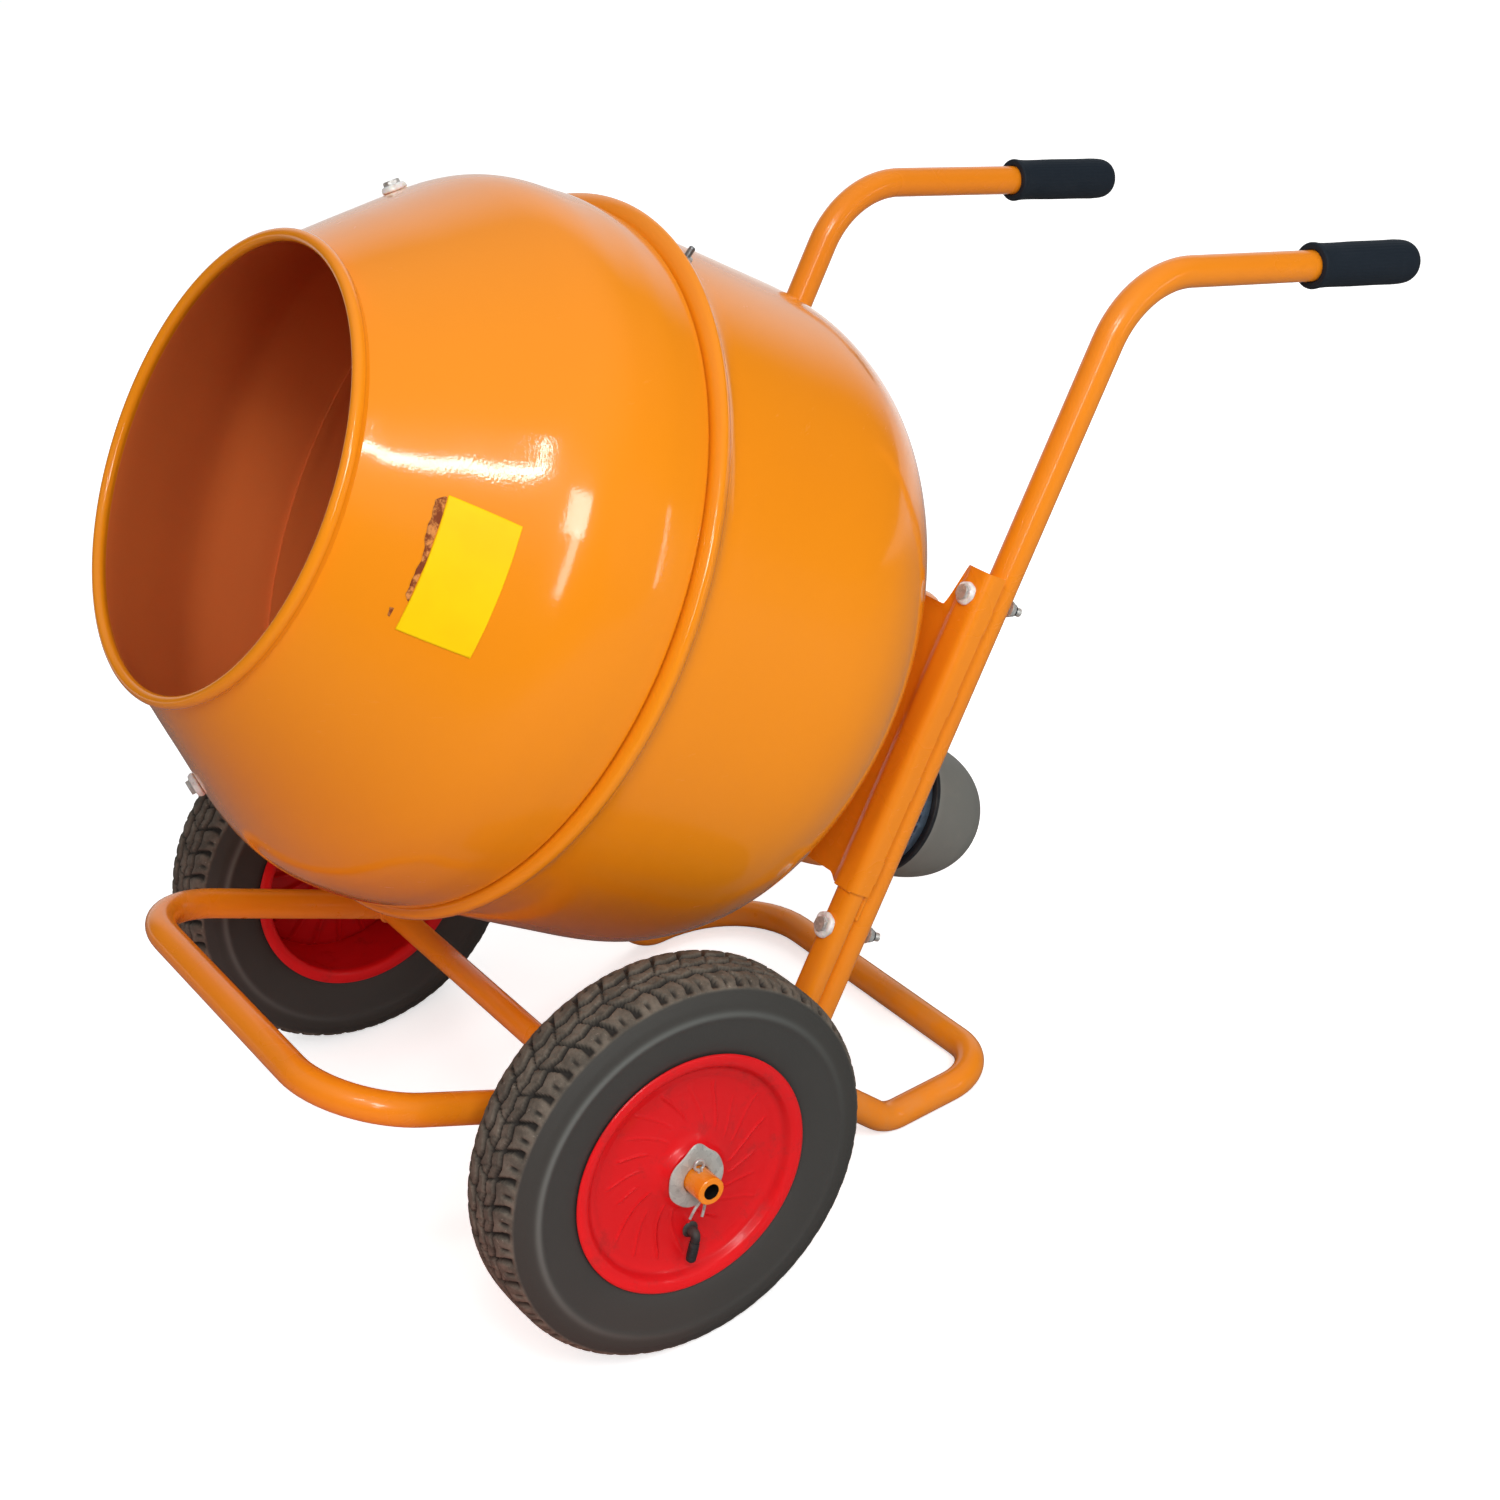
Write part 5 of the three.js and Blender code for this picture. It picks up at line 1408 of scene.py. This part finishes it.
def drum_shaft():
    radius = 12.6
    profile = [(0, -412), (11.6, -412), (radius, -411)]
    profile += [(radius, along) for along in np.linspace(-400, -318, 10)]
    profile += [(radius, -316), (12.2, -314), (radius, -312), (radius, -289), (11.6, -288), (0, -288)]
    piece = Piece().turned(profile, 64, head)
    piece.make("drum_shaft", "turned", ["steel"], "bright_steel", "drum")


def shaft_nut():
    flat = 20 * math.cos(math.pi / 6)
    full = hexagon_radius(flat, 48)
    chamfered = np.minimum(full, flat * 1.08)
    stations = [(13.3, -311.6), (flat * 0.99, -311.6), (chamfered, -310.6), (full, -309.0),
                (full, -300.6), (chamfered, -299.0), (flat * 0.98, -298.1), (13.9, -298.0),
                (13.2, -298.8), (13.2, -310.8)]
    piece = Piece().shell(stacked(head, 48, stations), loop=True)
    piece.make("shaft_nut", "hex", ["zinc"], "zinc_steel", "drum", sharp=30)


def mixing_blade(part, degrees):
    """twisted flat bar with rolled edges, following the drum wall"""
    half_width, half_thick, wall_gap = 41.4, 1.8, 12 + 42
    corners = [(-half_width, -half_thick), (half_width, -half_thick), (half_width, half_thick),
               (-half_width, half_thick)]
    across, thick = np.array(round_profile(corners, 1.2)).T
    rings = []
    for along in np.linspace(-189.0, 139.0, 66):
        if along > 60:
            wall = 300 - (along - 60) * 0.62
        elif along < -170:
            wall = 297 - (-170 - along) * 0.5
        else:
            wall = 298
        angle = math.radians(degrees + (along + 25) * 0.09)
        cos, sin = math.cos(angle), math.sin(angle)
        narrow = 1 - 0.10 * ease(abs((along + 25) / 164), 0.86, 1.0)
        ripple = 0.5 * math.sin(along / 17.0) * (across < 0)
        radius = wall - wall_gap + across * narrow + ripple
        rings.append(head(radius * cos - thick * sin, radius * sin + thick * cos, along))
    Piece().shell(rings).make(part, "twisted", ["blade"], "blade_paint", "drum", sharp=50)


def blade_bolt(name, degrees):
    """bolt through the front shell's cone: nylon cap and head outside, nut and thread inside"""
    angle = math.radians(degrees)
    normal = unit(np.array([math.cos(angle) * 0.79, math.sin(angle) * 0.79, 0.613]))
    foot = np.array([math.cos(angle) * 271.2, math.sin(angle) * 271.2, 137]) + normal * 1.2
    place = frame_at(head(*foot), normal @ AXES)
    cap = smooth_line([(0.001, 0.2), (9.8, -0.5), (10.8, 0.6), (10.6, 2.6), (9.6, 4.4), (8.0, 5.2),
                       (0.001, 5.0)], 3)

    def dented(angle, radius, z):
        grow = 1 + 0.04 * np.sin(3 * angle + 0.4 + radius * 0.2) + 0.02 * np.sin(7 * angle)
        return radius * grow, z

    piece = Piece().turned(cap, 64, place, mat=1, warp=dented)
    piece.hex_head(place, 7.2, 4.4, 8.8)
    piece.thread_rod(place, 3.9, -1.6, -21.8, mat=2)
    piece.hex_head(place, 7.4, -3.6, -10.6, mat=2)
    washer = [(0.01, -2.4), (9.6, -2.4), (9.6, -3.7), (0.01, -3.7)]
    piece.turned(round_profile(washer, 0.3), 40, place, mat=2)
    piece.make(f"blade_bolt_{name}", "hex", ["zinc", "nylon", "bore"], "zinc_steel", "drum", sharp=30)


def seam_bolt(name, degrees):
    """radial bolt in the bowl just behind the seam; heights run from the drum axis"""
    angle = math.radians(degrees)
    outwards = np.array([math.cos(angle), math.sin(angle), 0.0]) @ AXES
    place = frame_at(head(0, 0, -7.0), outwards, up=ALONG)
    washer = [(0, 300.0), (6.6, 300.0), (7.0, 303.2), (6.6, 304.2), (0, 304.4)]
    piece = Piece().turned(washer, 32, place)
    piece.hex_head(place, 6.2, 304.2, 309.2)
    piece.thread_rod(place, 2.9, 290.4, 317.4, mat=1)
    piece.make(f"seam_bolt_{name}", "hex", ["zinc", "steel"], "zinc_steel", "drum", sharp=30)


hub_flange()
drum_shaft()
shaft_nut()
mixing_blade("mixing_blade_a", 99)
mixing_blade("mixing_blade_b", 243)
blade_bolt("a", 114)
blade_bolt("b", 258)
seam_bolt("top", 70)
seam_bolt("bottom", 250)

# ================================================================== gears
GEAR_MODULE = 4.0


def gear_outline(teeth, phase):
    """the outline, its unit directions and the root radius"""
    pitch_r = teeth * GEAR_MODULE / 2
    root_r = pitch_r - 1.05 * GEAR_MODULE
    # one flank: (radius, angle from the tooth's middle in quarter pitches)
    flank = [(root_r, 1.22), (pitch_r - 0.5 * GEAR_MODULE, 1.02), (pitch_r, 0.84),
             (pitch_r + 0.4 * GEAR_MODULE, 0.62), (pitch_r + 0.72 * GEAR_MODULE, 0.42)]
    tooth = [(radius, -turn) for radius, turn in flank] + flank[::-1]
    quarter = math.pi / teeth * 0.5
    points = []
    for i in range(teeth):
        middle = (i / teeth) * 2 * math.pi + phase
        for radius, turn in tooth:
            angle = middle + turn * quarter
            points.append((radius * math.cos(angle), radius * math.sin(angle)))
    outline = np.array(points)
    return outline, outline / np.linalg.norm(outline, axis=1)[:, None], root_r


def drive_gear():
    teeth, bore, back, front = 44, 13.2, -404.0, -390.0
    outline, directions, root_r = gear_outline(teeth, -math.pi / 2 + math.pi / teeth)
    # one face from the bore out: (radius, how far it is set in)
    face = [(bore, 0), (bore + 9, 0), (bore + 10, 2.6), (root_r - 7, 2.6), (root_r - 6, 0.2)]
    rings = [(directions * radius, back + depth) for radius, depth in face]
    rings += [(outline, back), (outline, front)]
    rings += [(directions * radius, front - depth) for radius, depth in face[::-1]]
    piece = Piece().shell([head(ring[:, 0], ring[:, 1], along) for ring, along in rings], loop=True)
    piece.make("drive_gear", "cut", ["cast"], "cast_iron", "drum", sharp=30)


def motor_pinion():
    """pinion with its shaft running back into the motor"""
    shaft_r, back, front = 9.9, -405.0, -389.0
    outline, directions, _ = gear_outline(11, math.pi / 2)
    hub = directions * shaft_r
    rings = ((hub, back - 0.01), (outline, back), (outline, front), (hub, front + 0.01))
    piece = Piece().shell([on_motor(ring[:, 0], ring[:, 1], along) for ring, along in rings])
    shaft = [(0, -437.6), (9.2, -437.6), (shaft_r, -436.8), (shaft_r, -405.2), (shaft_r, -404.6),
             (0, -404.6)]
    piece.turned(shaft, 40, on_motor)
    piece.make("motor_pinion", "cut", ["steel"], "bright_steel", "rotor", sharp=30)


drive_gear()
motor_pinion()

# ================================================================== plain sticker on the drum
# corners (along, angle in degrees): front top, rear top, rear bottom, front bottom
STICKER = np.array([(189.0, 15.4), (144.0, 13.2), (145.3, -9.2), (191.0, -11.0)])


def front_radius(along):
    line = FRONT_OUTSIDE[np.argsort(FRONT_OUTSIDE[:, 1])]
    return np.interp(along, line[:, 1], line[:, 0])


def on_drum(along, angle, lift):
    """points lying a little off the front shell"""
    radius = front_radius(along)
    radius = radius + waviness(angle, along) * ease(radius, 200, 250)
    slope = (front_radius(along + 1) - front_radius(along - 1)) / 2
    length = np.sqrt(1 + slope ** 2)
    radius = radius + lift / length
    return head(radius * np.cos(angle), radius * np.sin(angle), along - slope / length * lift)


def sticker():
    piece = Piece()

    def sheet(along, degrees, lift, thickness, torn):
        angle = np.radians(degrees)
        top, under = on_drum(along, angle, lift + thickness), on_drum(along, angle, lift)
        rings = np.concatenate([top, under[:, ::-1]], axis=1)
        piece.shell(rings, torn=np.full(rings.shape[:2], torn))

    front_top, rear_top, rear_bottom, front_bottom = STICKER
    back, down = np.meshgrid(np.linspace(0, 1, 48), np.linspace(0, 1, 72), indexing="ij")
    top = front_top + (rear_top - front_top) * back[..., None]
    bottom = front_bottom + (rear_bottom - front_bottom) * back[..., None]
    spots = top + (bottom - top) * down[..., None]
    # the rear bottom corner lifts
    corner = np.exp(-((1 - back) / 0.03) ** 2) * np.exp(-((down - 1) / 0.10) ** 2)
    lift = 0.22 + 0.6 * corner + 0.10 * np.sin(back * 9 + down * 4) ** 2
    sheet(spots[..., 0], spots[..., 1], lift, 0.35, torn=0.0)

    # a thin torn strip left along the front edge, and one loose scrap:
    # (from, to down the edge, gap, width)
    for start, stop, gap, width in ((0.015, 0.78, 0.5, 8.6), (0.87, 0.94, 6.0, 3.0)):
        down = np.linspace(start, stop, 60)
        edge = front_top + (front_bottom - front_top) * down[:, None]
        part = (down - start) / (stop - start)
        ragged = np.clip(0.62 + 0.15 * np.sin(down * 9.0) + 0.06 * np.sin(down * 23.0 + 1.0)
                         + 0.03 * np.sin(down * 61.0), 0.15, 1)
        tapered = (1 - 0.45 * part) * ease(part, -0.02, 0.06) * (1 - ease(part, 0.94, 1.02))
        reach = width * ragged * tapered + 0.15
        near = gap + 0.15 * np.sin(down * 19.0 + 2.0)
        out = np.linspace(0, 1, 5)[None, :]
        along = edge[:, :1] + near[:, None] + reach[:, None] * out
        curl = 0.14 + 0.3 * out ** 2 * (0.5 + 0.5 * np.sin(down * 60.0))[:, None]
        sheet(along, edge[:, 1:] + 0 * along, curl, 0.22, torn=1.0)
    piece.make("plain_sticker", None, ["sticker"], "orange_paint", "drum", sharp=0)


sticker()

# ================================================================== studio, in metres
CAMERA_HEADING = (-0.861, 0.509, 0.0)  # level direction the camera looks in


def studio_paper():
    """near-white to the camera, grey to other rays; reflections brighten beyond the mixer"""
    m = Material("studio_paper")
    ray = m.node("ShaderNodeLightPath").outputs
    position = m.node("ShaderNodeNewGeometry").outputs["Position"]
    beyond = m.ramp(m.toward(position, CAMERA_HEADING), lo=0.7, hi=2.1, start=0.20, stop=0.90)
    mirrored = m.node("ShaderNodeCombineColor")
    for channel in range(3):
        m.put(mirrored.inputs[channel], beyond)
    tone = m.mix(ray["Is Glossy Ray"], (0.56, 0.56, 0.56, 1), mirrored.outputs[0])
    tone = m.mix(ray["Is Camera Ray"], tone, (0.93, 0.93, 0.93, 1))
    seen_glow = m.times(ray["Is Camera Ray"], by=0.74)
    far_glow = m.times(m.math("SUBTRACT", beyond, 0.2), by=0.55)
    glow = m.math("ADD", seen_glow, m.times(ray["Is Glossy Ray"], far_glow))
    return m.finish(base=tone, rough=m.plus(0.8, m.noise(scale=3.0), amount=0.05),
                    normal=m.bump(m.noise(scale=800.0), distance=0.00005, strength=0.3),
                    spec=0.1, emit=(1, 1, 1, 1), emit_strength=glow)


def studio_floor():
    half, count = 30.0, 24
    line = np.linspace(-half, half, count)
    mesh = bpy.data.meshes.new("studio_floor")
    corners = [i * count + j for i in range(count - 1) for j in range(count - 1)]
    mesh.from_pydata([(x, y, 0.0) for x in line for y in line], [],
                     [[k, k + count, k + count + 1, k + 1] for k in corners])
    floor = bpy.data.objects.new("studio_floor", mesh)
    scene.collection.objects.link(floor)
    mesh.materials.append(studio_paper())


def studio_world():
    """an even dome; mirrored in the paint it is dark at the horizon, pale overhead and far off"""
    world = bpy.data.worlds.new("studio")
    scene.world = world
    world.use_nodes = True
    graph = Graph(world.node_tree)
    background = world.node_tree.nodes["Background"]
    direction = graph.node("ShaderNodeTexCoord").outputs["Generated"]
    height = graph.height_of(direction)
    ray = graph.node("ShaderNodeLightPath").outputs
    even = graph.ramp(height, lo=-0.1, hi=0.9, start=0.40, stop=0.52)
    overhead = graph.ramp(height, lo=0.35, hi=0.98, start=0.03, stop=0.55)
    heading = graph.toward(direction, CAMERA_HEADING)
    far_side = graph.ramp(heading, lo=0.6, hi=0.9, start=0.0, stop=0.9)
    mirrored = graph.math("MAXIMUM", overhead, far_side)
    unseen = graph.mix_float(ray["Is Glossy Ray"], even, mirrored)
    to_camera = 1.25
    strength = graph.mix_float(ray["Is Camera Ray"], unseen, to_camera)
    graph.put(background.inputs["Strength"], strength)
    background.inputs["Color"].default_value = (1.0, 1.0, 1.0, 1)


studio_floor()
studio_world()


def from_axle(point):
    """a place measured from under the axle, in the scene"""
    return np.array(point) - np.array([0.0, ORIGIN_Y, 0.0])


def pose(x_dir, y_dir, z_dir, place):
    rows = [[x_dir[k], y_dir[k], z_dir[k], place[k]] for k in range(3)]
    return Matrix(rows + [[0, 0, 0, 1]])


def lamp(name, size, size_y, power):
    light = bpy.data.lights.new(name, "AREA")
    light.shape, light.size, light.size_y, light.energy = "RECTANGLE", size, size_y, power
    obj = bpy.data.objects.new(name, light)
    scene.collection.objects.link(obj)
    return obj


def soft_lamp(name, place, target, size, size_y, power):
    """an area lamp that reflections don't show"""
    obj = lamp(name, size, size_y, power)
    obj.visible_glossy = False
    place, target = Vector(from_axle(place)), Vector(from_axle(target))
    obj.location = place
    obj.rotation_mode = "QUATERNION"
    obj.rotation_quaternion = (target - place).to_track_quat("-Z", "Y")
    return obj


def strip(name, start, stop, width, power, seen_from):
    """a flat lamp whose long edge runs between two directions (azimuth, elevation) from a point"""
    distance = 2.6
    centre = from_axle(seen_from)

    def end(azimuth, elevation):
        turn, lift = math.radians(azimuth), math.radians(elevation)
        return centre + distance * np.array([math.sin(turn) * math.cos(lift),
                                             -math.cos(turn) * math.cos(lift), math.sin(lift)])

    first, last = end(*start), end(*stop)
    middle = (first + last) / 2
    x_dir = unit(last - first)
    z_dir = middle - centre
    z_dir = unit(z_dir - x_dir * (z_dir @ x_dir))
    obj = lamp(name, float(np.linalg.norm(last - first)), width, power)
    obj.matrix_world = pose(x_dir, np.cross(z_dir, x_dir), z_dir, middle)


soft_lamp("key_soft", place=(2.7, -1.5, 3.4), target=(0, 0.1, 0.5), size=2.6, size_y=2.0, power=62)
soft_lamp("fill_right", place=(3.4, 1.8, 1.5), target=(0, 0.1, 0.5), size=2.0, size_y=2.0, power=30)
soft_lamp("fill_back", place=(-2.0, 2.6, 3.2), target=(0, 0.1, 0.6), size=2.0, size_y=2.0, power=48)
bounce = soft_lamp("bounce_under", place=(0.10, -0.22, 0.05), target=(0, 0.06, 0.6), size=0.9,
                   size_y=0.9, power=1.6)
bounce.data.color = (1.0, 0.16, 0.06)
bounce.visible_camera = False

DRUM_VIEW, LEG_VIEW, EDGE_VIEW = (0.22, -0.03, 0.77), (0.275, 0.0, 0.71), (0.30, 0.11, 0.67)
# name, start and stop directions, width, power, point they are seen from
STRIPS = (
    ("strip_long", (57.0, 47.8), (71.0, 51.5), 0.14, 7.5, DRUM_VIEW),
    ("strip_tail", (70.5, 51.3), (77.0, 60.0), 0.045, 3.2, DRUM_VIEW),
    ("window_top", (87.0, 41.5), (78.0, 31.0), 0.62, 19.0, LEG_VIEW),
    ("window_leg_a", (79.0, 32.0), (67.0, 15.8), 0.26, 7.0, LEG_VIEW),
    ("edge_glint", (139.0, 8.0), (125.0, -9.0), 0.08, 2.2, EDGE_VIEW),
)
for entry in STRIPS:
    strip(*entry)

CAMERA_RIGHT = (0.55558135, 0.82461131, -0.10651553)
CAMERA_UP = (-0.34978708, 0.34801986, 0.86978801)
CAMERA_BACK = (0.75430655, -0.44598024, 0.48179172)
CAMERA_PLACE = (1.80281336, -0.76308451, 1.46005943)  # from under the axle
camera = bpy.data.cameras.new("camera")
camera.sensor_width, camera.lens = 36.0, 61.415
camera.clip_start, camera.clip_end = 0.05, 200
camera_obj = bpy.data.objects.new("camera", camera)
scene.collection.objects.link(camera_obj)
camera_obj.matrix_world = pose(CAMERA_RIGHT, CAMERA_UP, CAMERA_BACK, from_axle(CAMERA_PLACE))
scene.camera = camera_obj
scene.view_settings.view_transform = "Standard"
scene.view_settings.look = "None"
scene.view_settings.exposure = -0.30
